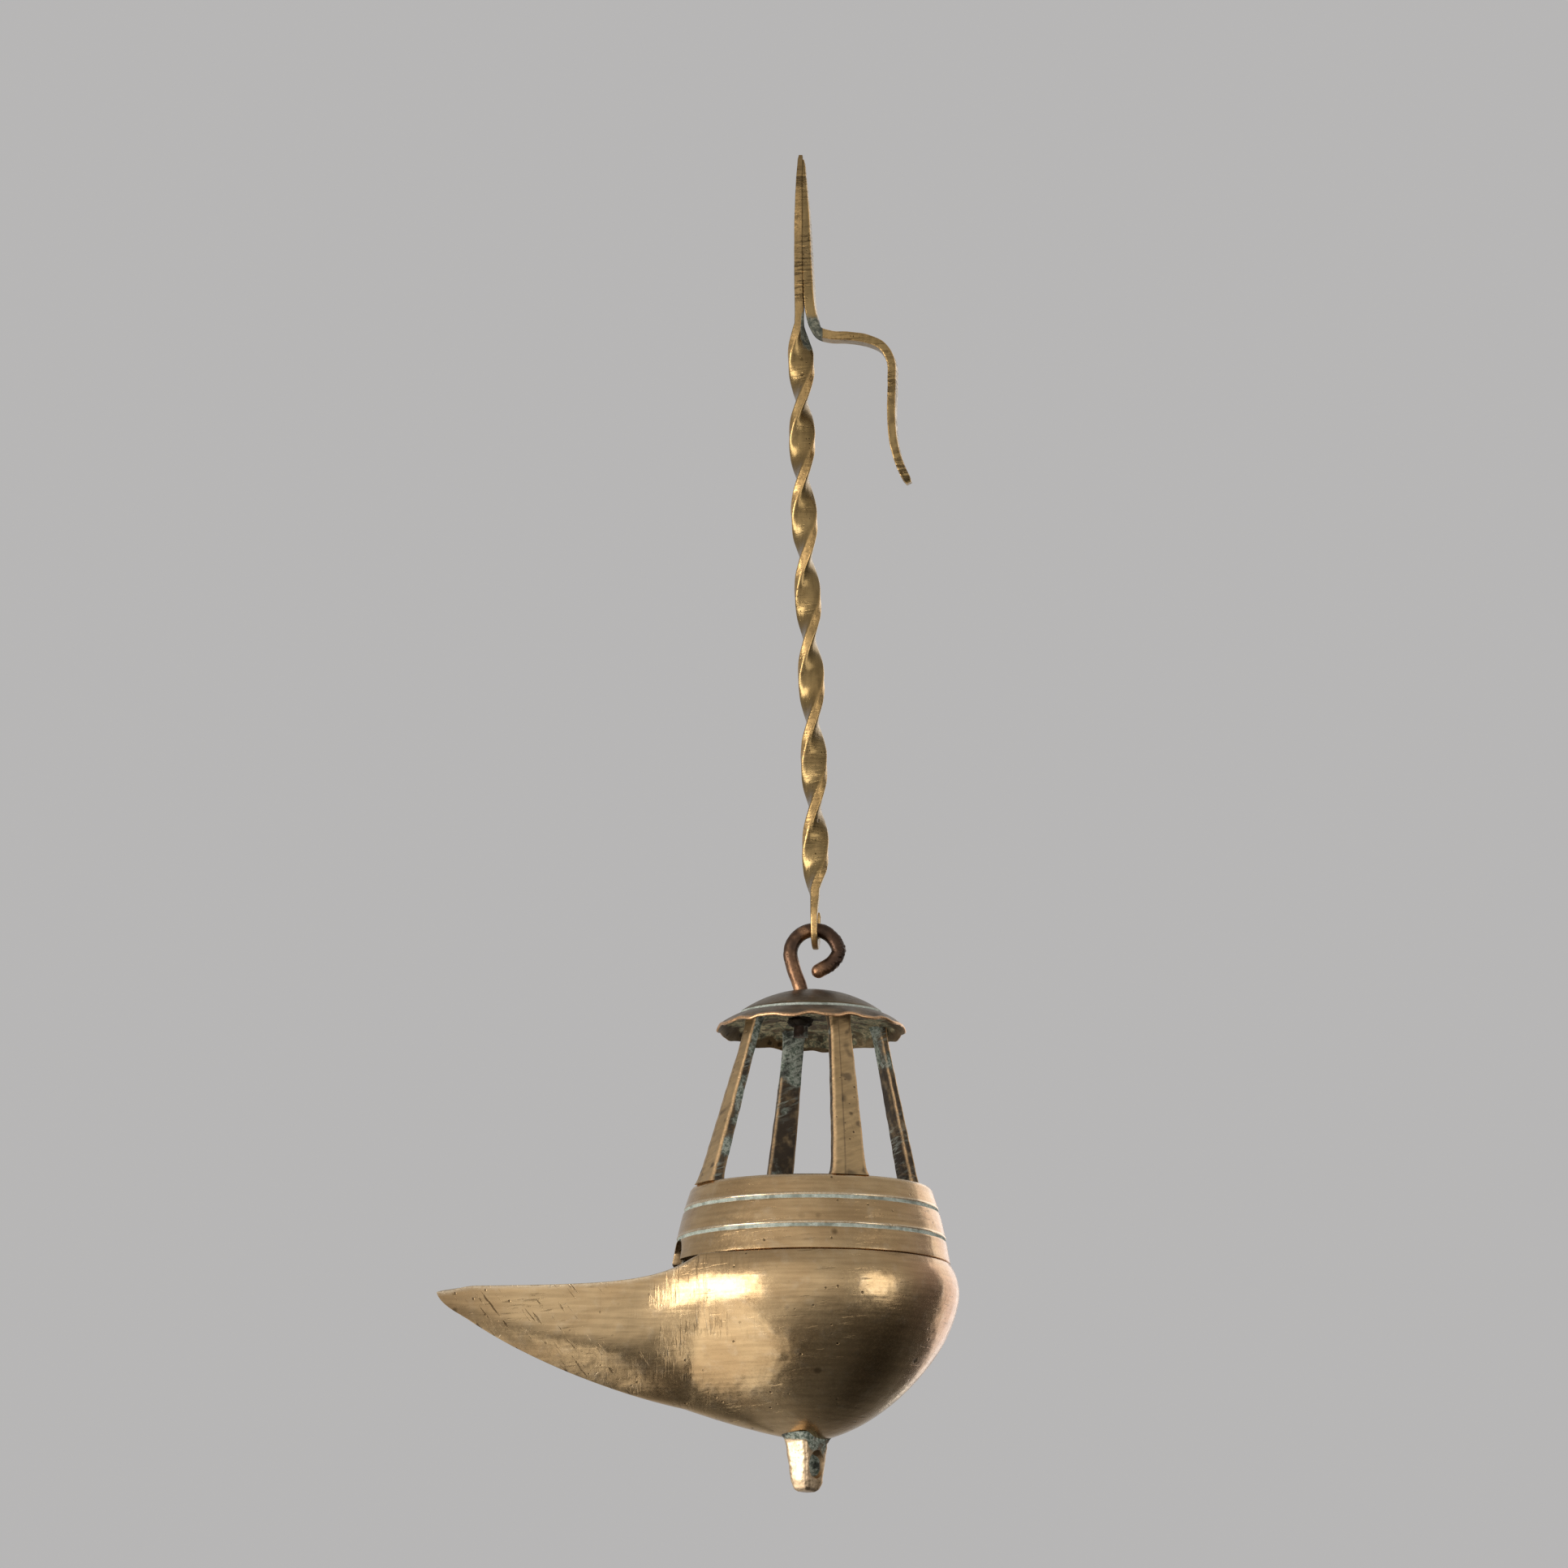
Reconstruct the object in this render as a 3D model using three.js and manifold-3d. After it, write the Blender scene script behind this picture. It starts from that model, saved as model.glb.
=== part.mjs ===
// A hanging brass oil lamp: a folded and twisted strip hanger, a rod hook that swivels in the canopy,
// and a lamp of canopy, four struts, neck collar, bowl with a beak spout, and a pierced lug below.
// Millimetres, +Z up. The origin is on the worn flat under the hanger's side hook, which hangs on a nail
// or a bracket. The hanger and the ring of the rod hook lie in the XZ plane. Heights are below the origin,
// so most of them are negative.
import * as THREE from "three";
import { mergeVertices } from "three/addons/utils/BufferGeometryUtils.js";
import Module from "manifold-3d";

const wasm = await Module();
wasm.setup();

// Clearance between pieces that touch on the real lamp.
const GAP = 0.3;

// Hanger: one strip, folded double at the spike, then a side hook one way and a twisted shank the other.
const SHANK_WIDTH = 8.3;
const SHANK_THICKNESS = 3.9;
const FIRST_WAIST_Z = 5.7;
const HALF_TURN = 26.9;
const HALF_TURNS = 7;
const TWIST_DRIFT = 0.12;
const EYE_X = -11.1;
const EYE_RADIUS = 4.8;
const EYE_LEAN = 0.113;
const EYE_BAND = 2.2;
const EYE_DEPTH = 3.6;
const SPIKE_YAW = 0.14;
const WORN_FLAT = 8;
// Share of a strip's thinner side that its corners are cut back by.
const CORNER_CUT = 0.28;
const EYE_CLEARANCE = 0.3;

// Rod hook: the stem stands off the middle of the canopy, and the ring is centred over the lamp.
const ROD_RADIUS = 2.35;
const RING_RADIUS = 7.7;
const RING_X = -10.9;
const RING_Z = -202.4;
const STEM_X = -15.3;
const STEM_END_Z = -230.4;
const WASHER_RADIUS = 3.7;
const WASHER_THICKNESS = 2.2;
const STEM_HOLE_CLEARANCE = 0.45;

// Lamp: its own frame has the bowl's axis at x = y = 0 and the spout along +x.
const SPOUT_TURN = THREE.MathUtils.degToRad(12);
const STEM_OFFSET = 3.4;

const CANOPY_APEX_Z = -214.2;
const CANOPY_UNDERSIDE_Z = -223.2;
const CANOPY_GROOVE_RADIUS = 23;
const CANOPY_DOME_RADIUS = 39.5;
const CANOPY_RIM_RADIUS = 30.3;
const CANOPY_RIM_Z = -225.9;
const SCALLOPS = 14;
const SCALLOP_DEPTH = 0.6;
// The brim hangs lowest on one side, in this direction in the lamp's frame.
const BRIM_DROOP = 2.9;
const DROOP_SIDE = THREE.MathUtils.degToRad(-112);

const COLLAR_TOP_Z = -278.9;
const COLLAR_FOOT_Z = -303.5;
const COLLAR_TOP_RADIUS = 38.5;
const COLLAR_FOOT_RADIUS = 44.2;
const COLLAR_TOP_BORE = 33.6;
const COLLAR_FOOT_BORE = 41.2;
const COLLAR_GROOVES = [-286.4, -295.8];
const GROOVE_DEPTH = 0.5;
const GROOVE_HALF_WIDTH = 0.7;
const NOTCH_WIDTH = 12;
const NOTCH_HEIGHT = 7.5;
// The collar's wall thickens below its mouth, and its foot leaves the belly's curve at this height.
const COLLAR_FOOT_BEND_Z = -299.5;
const COLLAR_LIP_DEPTH = 8;
const COLLAR_LIP_FLARE = 3.4;
const BELLY_ABOVE_GROOVE = 4.6;
const COLLAR_EDGE = 0.6;
const COLLAR_BEND = 1.5;

const STRUT_RIDGE = 0.5;
const STRUT_SINK = 1.6;
// The ridge's place across a strut as a share of its width, and the extra width at its ends, with how
// quickly each dies away along the strut.
const RIDGE_PLACE = -0.16;
const FOOT_FLARE = 2;
const FOOT_FLARE_RATE = 26;
const TOP_FLARE = 1.6;
const TOP_FLARE_RATE = 18;
// Each strut's direction round the lamp's axis, in degrees in the hanger's frame, its distance from the
// axis, its width and its depth, each as [at the foot, at the top].
const STRUTS = [
  { name: "strut_front", turn: [-71, -67.5], radius: [35.9, 22.2], width: [11, 6.4], depth: [3.6, 3.2] },
  { name: "strut_right", turn: [29, 28], radius: [36.7, 24.4], width: [9.8, 5.6], depth: [3, 2.4] },
  { name: "strut_back", turn: [108, 104], radius: [35.9, 22.2], width: [9, 6.2], depth: [3.4, 3] },
  { name: "strut_left", turn: [-154, -153], radius: [36.1, 20.1], width: [11, 5.6], depth: [4.4, 2.9] },
];

const BOWL_RIM_Z = COLLAR_FOOT_Z - GAP;
const BULGE_Z = -313.3;
const SPOUT_TIP = 121.5;
const ROUNDNESS = 1.6;
const RIM_TUCK = 2.7;
const RIM_TUCK_BEND = 2.2;
// How the keel rises along the spout, and how the spout's sides close towards its tip.
const KEEL_RISE = 1.45;
const KEEL_BEND = 0.74;
const SPOUT_TAPER = 1.116;
// The rim falls from the collar to the spout's edge, then a little more at the tip.
const RIM_FALL = 9.4;
const RIM_FALL_START = 41.5;
const RIM_FALL_LENGTH = 12;
const TIP_FALL = 1.9;
const TIP_FALL_START = 110;
// Where the round of the bowl gives way to the flank, as an angle from the spout's line, and how far
// along the spout the flank runs, as a share of the way to the keel: the second is lost at the rim.
const ROUND_END = THREE.MathUtils.degToRad(58);
const FLANK_SHARE = 0.4;
const FLANK_LOST_AT_RIM = 0.3;
// Outside and inside of the bowl: lowest point, largest radius, reach of the spout, and the spout's
// half width if its sides ran on to the axis.
const OUTSIDE = { floor: -359.8, bulge: 47.3, reach: SPOUT_TIP, mouth: 36.8 };
const INSIDE = { floor: -355.4, bulge: 44.5, reach: 114.5, mouth: 33.2 };

const LUG_X = 1.6;
const LUG_TURN = THREE.MathUtils.degToRad(43);
const LUG_WIDTH = 13.4;
const LUG_THICKNESS = 9;
const LUG_BOTTOM_Z = -375.9;
const LUG_HOLE_RADIUS = 2.9;
const LUG_HOLE_Z = -367.6;
const LUG_ROOT = 3;

// Length of a tool that cuts right through a piece.
const CUT_THROUGH = 30;

function material(color, roughness) {
  return new THREE.MeshStandardMaterial({ color, roughness, metalness: 1 });
}

const GOLDEN_BRASS = material(0xb8933f, 0.38);
const BROWN_BRASS = material(0xa08050, 0.34);
const CRUSTED_BRASS = material(0x7d6a48, 0.6);
const DARK_COPPER = material(0x6b4530, 0.45);

// Closed skin through rings with equally many points. Each ring runs anticlockwise as seen from the
// last ring, and the first and last rings are closed by a fan about their middle.
function loft(rings) {
  const count = rings[0].length;
  const points = rings.flat();
  const firstMiddle = points.push(middleOf(rings[0])) - 1;
  const lastMiddle = points.push(middleOf(rings.at(-1))) - 1;
  const lastStart = (rings.length - 1) * count;
  const faces = [];
  for (let j = 0; j < count; j++) {
    const next = (j + 1) % count;
    for (let i = 0; i + 1 < rings.length; i++) {
      const low = i * count;
      const high = low + count;
      faces.push(low + j, low + next, high + next, low + j, high + next, high + j);
    }
    faces.push(firstMiddle, next, j, lastMiddle, lastStart + j, lastStart + next);
  }
  const geometry = new THREE.BufferGeometry().setFromPoints(points);
  geometry.setIndex(faces);
  return geometry;
}

function middleOf(ring) {
  const sum = new THREE.Vector3();
  for (const point of ring) sum.add(point);
  return sum.divideScalar(ring.length);
}

function solidOf(geometry) {
  const bare = new THREE.BufferGeometry().setAttribute("position", geometry.getAttribute("position"));
  bare.setIndex(geometry.index);
  const merged = mergeVertices(bare, 1e-3);
  return new wasm.Manifold(
    new wasm.Mesh({
      numProp: 3,
      vertProperties: new Float32Array(merged.attributes.position.array),
      triVerts: new Uint32Array(merged.index.array),
    }),
  );
}

function geometryOf(solid) {
  const mesh = solid.getMesh();
  const geometry = new THREE.BufferGeometry();
  geometry.setAttribute("position", new THREE.BufferAttribute(mesh.vertProperties, 3));
  geometry.setIndex(new THREE.BufferAttribute(mesh.triVerts, 1));
  geometry.computeVertexNormals();
  return geometry;
}

function cut(geometry, ...tools) {
  return geometryOf(tools.reduce((left, tool) => left.subtract(solidOf(tool)), solidOf(geometry)));
}

function join(a, b) {
  return geometryOf(solidOf(a).add(solidOf(b)));
}

function smoothStep(from, to, value) {
  return THREE.MathUtils.smoothstep(value, from, to);
}

// Value at a place along a row of [place, value] stations, straight between them.
function between(stations, place) {
  const after = stations.findIndex(([at]) => at >= place);
  if (after < 0) return stations.at(-1)[1];
  if (after === 0) return stations[0][1];
  const [fromPlace, from] = stations[after - 1];
  const [toPlace, to] = stations[after];
  return from + ((to - from) * (place - fromPlace)) / (toPlace - fromPlace);
}

function inPlane([x, z]) {
  return new THREE.Vector3(x, 0, z);
}

// Rectangle with cut corners across a path: wide is the direction of its width.
function stripRing(centre, tangent, wide, width, thickness) {
  const across = wide.clone().addScaledVector(tangent, -wide.dot(tangent)).normalize();
  const through = new THREE.Vector3().crossVectors(tangent, across);
  const corner = CORNER_CUT * Math.min(width, thickness);
  const a = width / 2;
  const b = thickness / 2;
  const outline = [
    [a, b - corner],
    [a - corner, b],
    [corner - a, b],
    [-a, b - corner],
    [-a, corner - b],
    [corner - a, -b],
    [a - corner, -b],
    [a, corner - b],
  ];
  return outline.map(([s, t]) => centre.clone().addScaledVector(across, s).addScaledVector(through, t));
}

// Twist of the shank about its line: zero or a multiple of pi where the strip is seen edge on.
function shankTwist(z) {
  const halfTurns = Math.min(Math.max((FIRST_WAIST_Z - z) / HALF_TURN, 0), HALF_TURNS);
  return -Math.PI * (halfTurns + TWIST_DRIFT * Math.sin((Math.PI * halfTurns) / HALF_TURNS));
}

// From the free end of the eye, round it, up the shank, and up the left leaf of the spike.
function eyeShankAndLeaf() {
  const bottomZ = RING_Z + RING_RADIUS + EYE_CLEARANCE;
  const points = [[EYE_RADIUS, bottomZ + 6], [EYE_RADIUS, bottomZ + 3]].map(([y, z]) => eyePoint(y, z));
  for (let turn = 0; turn <= 6; turn++) {
    const angle = (Math.PI * turn) / 6;
    points.push(eyePoint(EYE_RADIUS * Math.cos(angle), bottomZ - EYE_RADIUS * Math.sin(angle)));
  }
  points.push(eyePoint(-EYE_RADIUS, bottomZ + 4), eyePoint(-2.6, bottomZ + 9.2));
  const line = [
    [-10.7, -176],
    [-10.6, -160],
    [-11.0, -141],
    [-12.2, -104],
    [-13.6, -72],
    [-14.8, -38],
    [-14.9, -12],
    [-15.7, 3],
    [-15.6, 16],
    [-15.7, 36],
    [-15.6, 54],
    [-15.2, 62.6],
  ];
  points.push(...line.map(inPlane));
  const widths = [
    [-194, EYE_DEPTH],
    [-184, 6.4],
    [-176, SHANK_WIDTH],
    [-4, SHANK_WIDTH],
    [6, 7],
    [36, 6],
    [63, 2],
  ];
  const thicknesses = [
    [-192, EYE_BAND],
    [-176, SHANK_THICKNESS],
    [-4, SHANK_THICKNESS],
    [8, 3],
    [40, 2.8],
    [63, 1.6],
  ];
  const steps = 112;
  const curve = new THREE.CatmullRomCurve3(points, false, "centripetal");
  const rings = [];
  for (let i = 0; i <= steps; i++) {
    const centre = curve.getPointAt(i / steps);
    const tangent = curve.getTangentAt(i / steps);
    const side = new THREE.Vector3().crossVectors(tangent, new THREE.Vector3(1, 0, 0)).normalize();
    const twist = shankTwist(centre.z) - SPIKE_YAW * smoothStep(FIRST_WAIST_Z, 20, centre.z);
    const wide = side.multiplyScalar(Math.cos(twist)).add(new THREE.Vector3(-Math.sin(twist), 0, 0));
    const width = between(widths, centre.z);
    rings.push(stripRing(centre, tangent, wide, width, between(thicknesses, centre.z)));
  }
  return loft(rings);
}

function eyePoint(y, z) {
  return new THREE.Vector3(EYE_X + EYE_LEAN * (y + EYE_RADIUS), y, z);
}

// From the point of the spike, down its right leaf, and out along the side hook.
function leafAndSideHook() {
  const line = [
    [-14.6, 61],
    [-13.6, 42],
    [-12.7, 22],
    [-11.7, 9.5],
    [-9.6, 3.2],
    [-5.5, 1.6],
    [0, 1.3],
    [6.5, 0.3],
    [11.6, -2.2],
    [14.4, -7],
    [14.7, -14],
    [14.5, -25],
    [15.2, -34],
    [17.4, -42],
    [20, -47.4],
  ];
  const widths = [[0, 2], [0.2, 6], [0.4, 7], [0.75, 6.6], [1, 4.6]];
  const thicknesses = [[0, 1.5], [0.15, 3], [0.42, 3.5], [0.5, 2.9], [1, 2.7]];
  const steps = 46;
  const curve = new THREE.CatmullRomCurve3(line.map(inPlane), false, "centripetal");
  const rings = [];
  for (let i = 0; i <= steps; i++) {
    const place = i / steps;
    const tangent = curve.getTangentAt(place);
    const wide = new THREE.Vector3(SPIKE_YAW * Math.abs(tangent.z), 1, 0);
    const width = between(widths, place);
    rings.push(stripRing(curve.getPointAt(place), tangent, wide, width, between(thicknesses, place)));
  }
  return loft(rings);
}

function hangerStrip() {
  const strip = join(eyeShankAndLeaf(), leafAndSideHook());
  const wear = new THREE.BoxGeometry(WORN_FLAT, 2 * SHANK_WIDTH, SHANK_THICKNESS);
  wear.translate(0, 0, -SHANK_THICKNESS / 2);
  return cut(strip, wear);
}

// Round rod through points of the XZ plane, with a rounded far end.
function suspensionHook() {
  const line = [
    [STEM_X, STEM_END_Z],
    [STEM_X, -222],
    [STEM_X, -214],
    [-17.4, -207.8],
  ];
  for (let turn = 0; turn <= 8; turn++) {
    const angle = Math.PI * (1 - (0.98 * turn) / 8);
    line.push([RING_X + RING_RADIUS * Math.cos(angle), RING_Z + RING_RADIUS * Math.sin(angle)]);
  }
  line.push([-5.2, -205.2], [-9.6, -208.0]);
  const curve = new THREE.CatmullRomCurve3(line.map(inPlane), false, "centripetal");
  const steps = 44;
  const sides = 10;
  const rings = [];
  for (let i = 0; i <= steps; i++) {
    rings.push(rodRing(curve.getPointAt(i / steps), curve.getTangentAt(i / steps), ROD_RADIUS, sides));
  }
  const end = curve.getPointAt(1);
  const tangent = curve.getTangentAt(1);
  for (const turn of [0.35, 0.7]) {
    const angle = (turn * Math.PI) / 2;
    const centre = end.clone().addScaledVector(tangent, ROD_RADIUS * Math.sin(angle));
    rings.push(rodRing(centre, tangent, ROD_RADIUS * Math.cos(angle), sides));
  }
  return loft(rings);
}

function rodRing(centre, tangent, radius, sides) {
  const across = new THREE.Vector3(0, 1, 0);
  const through = new THREE.Vector3().crossVectors(tangent, across);
  const ring = [];
  for (let k = 0; k < sides; k++) {
    const angle = (2 * Math.PI * k) / sides;
    const point = centre.clone().addScaledVector(across, radius * Math.cos(angle));
    ring.push(point.addScaledVector(through, radius * Math.sin(angle)));
  }
  return ring;
}

// Solid of revolution about Z. The profile runs from the bottom on the outside to the top.
function turned(profile, segments) {
  const geometry = new THREE.LatheGeometry(profile.map(([r, z]) => new THREE.Vector2(r, z)), segments);
  geometry.rotateX(Math.PI / 2);
  return geometry;
}

function upright(radius, x, z) {
  const geometry = new THREE.CylinderGeometry(radius, radius, CUT_THROUGH, 20);
  geometry.rotateX(Math.PI / 2);
  geometry.translate(x, 0, z);
  return geometry;
}

function stemWasher() {
  const top = CANOPY_UNDERSIDE_Z - GAP;
  const bore = ROD_RADIUS + GAP;
  return turned(
    [
      [bore, top - WASHER_THICKNESS],
      [WASHER_RADIUS, top - WASHER_THICKNESS],
      [WASHER_RADIUS, top],
      [bore, top],
      [bore, top - WASHER_THICKNESS],
    ],
    20,
  );
}

// Canopy: a low dome, a fine groove, and a sloping brim with a waved edge.
function canopyCap() {
  const profile = [
    [0, CANOPY_UNDERSIDE_Z],
    [14, CANOPY_UNDERSIDE_Z - 0.5],
    [22, CANOPY_UNDERSIDE_Z - 2],
    [26.5, CANOPY_UNDERSIDE_Z - 2.2],
    [CANOPY_RIM_RADIUS - 0.7, CANOPY_RIM_Z - 1.1],
    [CANOPY_RIM_RADIUS, CANOPY_RIM_Z - 0.5],
    [CANOPY_RIM_RADIUS - 0.2, CANOPY_RIM_Z],
  ];
  const grooveZ = domeZ(CANOPY_GROOVE_RADIUS);
  profile.push([CANOPY_GROOVE_RADIUS + 0.8, grooveZ - 0.5], [CANOPY_GROOVE_RADIUS + 0.3, grooveZ - 0.7]);
  for (const share of [1, 0.85, 0.65, 0.42, 0.2]) {
    profile.push([CANOPY_GROOVE_RADIUS * share, domeZ(CANOPY_GROOVE_RADIUS * share)]);
  }
  profile.push([0, CANOPY_APEX_Z]);
  const geometry = turned(profile, 48);
  wave(geometry);
  return cut(geometry, upright(ROD_RADIUS + STEM_HOLE_CLEARANCE, STEM_OFFSET, CANOPY_APEX_Z));
}

function domeZ(radius) {
  return CANOPY_APEX_Z - CANOPY_DOME_RADIUS + Math.sqrt(CANOPY_DOME_RADIUS ** 2 - radius ** 2);
}

// Waves the brim's edge up and down, and in and out by half as much, and lets one side of it droop.
function wave(geometry) {
  const position = geometry.getAttribute("position");
  for (let i = 0; i < position.count; i++) {
    const x = position.getX(i);
    const y = position.getY(i);
    const reach = smoothStep(CANOPY_GROOVE_RADIUS + 3, CANOPY_RIM_RADIUS, Math.hypot(x, y));
    const turn = Math.atan2(y, x);
    const lift = reach * SCALLOP_DEPTH * Math.cos(SCALLOPS * turn);
    const swell = 1 - lift / 2 / CANOPY_RIM_RADIUS;
    const droop = reach * BRIM_DROOP * (0.5 + 0.5 * Math.cos(turn - DROOP_SIDE)) ** 2;
    position.setXYZ(i, x * swell, y * swell, position.getZ(i) + lift - droop);
  }
}

function collarRadius(z) {
  const up = (z - COLLAR_FOOT_Z) / (COLLAR_TOP_Z - COLLAR_FOOT_Z);
  return COLLAR_FOOT_RADIUS - (COLLAR_FOOT_RADIUS - COLLAR_TOP_RADIUS) * up ** COLLAR_BEND;
}

// Neck collar: a slightly bellied ring with two incised lines, notched over the spout.
function neckCollar() {
  const outside = [[COLLAR_FOOT_RADIUS, COLLAR_FOOT_Z]];
  outside.push([collarRadius(COLLAR_FOOT_BEND_Z), COLLAR_FOOT_BEND_Z]);
  for (const grooveZ of [...COLLAR_GROOVES].sort((a, b) => a - b)) {
    outside.push([collarRadius(grooveZ - GROOVE_HALF_WIDTH), grooveZ - GROOVE_HALF_WIDTH]);
    outside.push([collarRadius(grooveZ) - GROOVE_DEPTH, grooveZ]);
    outside.push([collarRadius(grooveZ + GROOVE_HALF_WIDTH), grooveZ + GROOVE_HALF_WIDTH]);
    outside.push([collarRadius(grooveZ + BELLY_ABOVE_GROOVE), grooveZ + BELLY_ABOVE_GROOVE]);
  }
  outside.push([COLLAR_TOP_RADIUS, COLLAR_TOP_Z - COLLAR_EDGE]);
  outside.push([COLLAR_TOP_RADIUS - COLLAR_EDGE, COLLAR_TOP_Z]);
  const profile = [
    [COLLAR_FOOT_BORE, COLLAR_FOOT_Z],
    ...outside,
    [COLLAR_TOP_BORE, COLLAR_TOP_Z],
    [COLLAR_TOP_BORE + COLLAR_LIP_FLARE, COLLAR_TOP_Z - COLLAR_LIP_DEPTH],
    [COLLAR_FOOT_BORE, COLLAR_FOOT_Z],
  ];
  const arch = new THREE.Shape();
  arch.moveTo(-NOTCH_WIDTH / 2, -NOTCH_HEIGHT);
  arch.lineTo(NOTCH_WIDTH / 2, -NOTCH_HEIGHT);
  arch.lineTo(NOTCH_WIDTH / 2, NOTCH_HEIGHT - NOTCH_WIDTH / 2);
  arch.absarc(0, NOTCH_HEIGHT - NOTCH_WIDTH / 2, NOTCH_WIDTH / 2, 0, Math.PI, false);
  const through = { depth: CUT_THROUGH, bevelEnabled: false, curveSegments: 8 };
  const notch = new THREE.ExtrudeGeometry(arch, through);
  notch.rotateX(Math.PI / 2);
  notch.rotateZ(Math.PI / 2);
  notch.translate(COLLAR_FOOT_RADIUS - CUT_THROUGH / 2, 0, COLLAR_FOOT_Z);
  return cut(turned(profile, 48), notch);
}

// A leaning bar with a low ridge on both broad faces, flared where it meets the collar and the canopy.
function strut({ turn, radius, width, depth }) {
  const toLamp = Math.PI + SPOUT_TURN;
  const footZ = COLLAR_TOP_Z + GAP;
  const topZ = CANOPY_UNDERSIDE_Z - STRUT_SINK;
  const steps = 14;
  const rings = [];
  for (let i = 0; i <= steps; i++) {
    const up = i / steps;
    const along = ([low, high]) => low + (high - low) * up;
    const angle = THREE.MathUtils.degToRad(along(turn)) - toLamp;
    const foot = FOOT_FLARE * Math.exp(-up * FOOT_FLARE_RATE);
    const top = TOP_FLARE * Math.exp((up - 1) * TOP_FLARE_RATE);
    const centre = new THREE.Vector3(Math.cos(angle), Math.sin(angle), 0);
    centre.multiplyScalar(along(radius)).setZ(footZ + (topZ - footZ) * up);
    rings.push(strutRing(centre, angle, along(width) + foot + top, along(depth)));
  }
  const roof = canopyCap();
  roof.translate(0, 0, -GAP);
  return cut(loft(rings), roof);
}

function strutRing(centre, angle, width, depth) {
  const out = new THREE.Vector3(Math.cos(angle), Math.sin(angle), 0);
  const side = new THREE.Vector3(-Math.sin(angle), Math.cos(angle), 0);
  const half = depth / 2;
  const ridge = RIDGE_PLACE * width;
  const outline = [
    [half, -width / 2],
    [half + STRUT_RIDGE, ridge],
    [half, width / 2],
    [-half, width / 2],
    [-half - STRUT_RIDGE, ridge],
    [-half, -width / 2],
  ];
  return outline.map(([r, t]) => centre.clone().addScaledVector(out, r).addScaledVector(side, t));
}

// Radius of the round bowl at a level, 0 at its lowest point and 1 at its rim.
function bowlRadius(level, side) {
  const z = side.floor + level * (BOWL_RIM_Z - side.floor);
  if (z > BULGE_Z) return side.bulge - RIM_TUCK * ((z - BULGE_Z) / (BOWL_RIM_Z - BULGE_Z)) ** RIM_TUCK_BEND;
  const down = (BULGE_Z - z) / (BULGE_Z - side.floor);
  return side.bulge * Math.max(1 - down ** ROUNDNESS, 0) ** (1 / ROUNDNESS);
}

// How far along the spout its keel has come at a level, and the level of the keel at a distance.
function keelReach(level, side) {
  return side.reach * (1 - (1 - level) ** KEEL_RISE) ** KEEL_BEND;
}

function keelLevel(distance, side) {
  return 1 - (1 - Math.min(distance / side.reach, 1) ** (1 / KEEL_BEND)) ** (1 / KEEL_RISE);
}

function spoutHalfWidth(distance, level, side) {
  const keel = keelLevel(distance, side);
  const top = side.mouth * Math.max(1 - distance / side.reach, 0) ** SPOUT_TAPER;
  return top * Math.sqrt(Math.max((level - keel) / (1 - keel + 1e-9), 0));
}

// Half width of the whole vessel at a distance along the spout: the round of the bowl, the spout, and a
// flank that leaves the one and meets the other in line with it.
function halfWidth(distance, level, side) {
  const radius = bowlRadius(level, side);
  const leave = radius * Math.cos(ROUND_END);
  if (distance <= leave) return Math.sqrt(Math.max(radius ** 2 - distance ** 2, 0));
  const rest = keelReach(level, side) - radius;
  const meet = radius + rest * (FLANK_SHARE - FLANK_LOST_AT_RIM * level ** 2);
  if (distance >= meet) return spoutHalfWidth(distance, level, side);
  const end = spoutHalfWidth(meet, level, side);
  const step = rest / 20;
  const endSlope = (end - spoutHalfWidth(meet - step, level, side)) / step;
  const start = radius * Math.sin(ROUND_END);
  const run = meet - leave;
  return fairCurve((distance - leave) / run, run, start, -1 / Math.tan(ROUND_END), end, endSlope);
}

// Cubic between two heights with the slope given at each, at a share of the run between them.
function fairCurve(share, run, start, startSlope, end, endSlope) {
  const back = 1 - share;
  const heights = start * back ** 2 * (1 + 2 * share) + end * share ** 2 * (3 - 2 * share);
  return heights + run * share * back * (startSlope * back - endSlope * share);
}

// The rim dips from the collar's foot to the spout's edge, and the levels below it dip in proportion.
function rimDip(distance) {
  const dip = RIM_FALL * (1 - Math.exp(-Math.max(distance - RIM_FALL_START, 0) / RIM_FALL_LENGTH));
  return dip + TIP_FALL * smoothStep(TIP_FALL_START, SPOUT_TIP, distance);
}

function vesselRing(level, side) {
  const radius = bowlRadius(level, side);
  const tip = keelReach(level, side);
  const roundSteps = 12;
  const spoutSteps = 10;
  const half = [];
  for (let i = 0; i <= roundSteps; i++) {
    const angle = Math.PI + ((ROUND_END - Math.PI) * i) / roundSteps;
    half.push(radius * Math.cos(angle));
  }
  const start = half.at(-1);
  for (let i = 1; i <= spoutSteps; i++) half.push(tip - (tip - start) * (1 - i / spoutSteps) ** 1.7);
  const point = (x, sign) => {
    const share = level * (BOWL_RIM_Z - side.floor - rimDip(x));
    return new THREE.Vector3(x, sign * halfWidth(x, level, side), side.floor + share);
  };
  const near = half.map((x) => point(x, -1));
  const far = half.slice(1, -1).map((x) => point(x, 1));
  return [...near, ...far.reverse()];
}

// Levels from the lowest point to the rim, closer together near the lowest point.
function levels(steps) {
  return Array.from({ length: steps }, (_, i) => ((i + 0.25) / (steps - 0.75)) ** 1.6);
}

function oilBowl() {
  const outside = levels(14).map((level) => vesselRing(level, OUTSIDE));
  const inside = levels(12).map((level) => vesselRing(level, INSIDE));
  return loft([...outside, ...inside.reverse()]);
}

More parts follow.
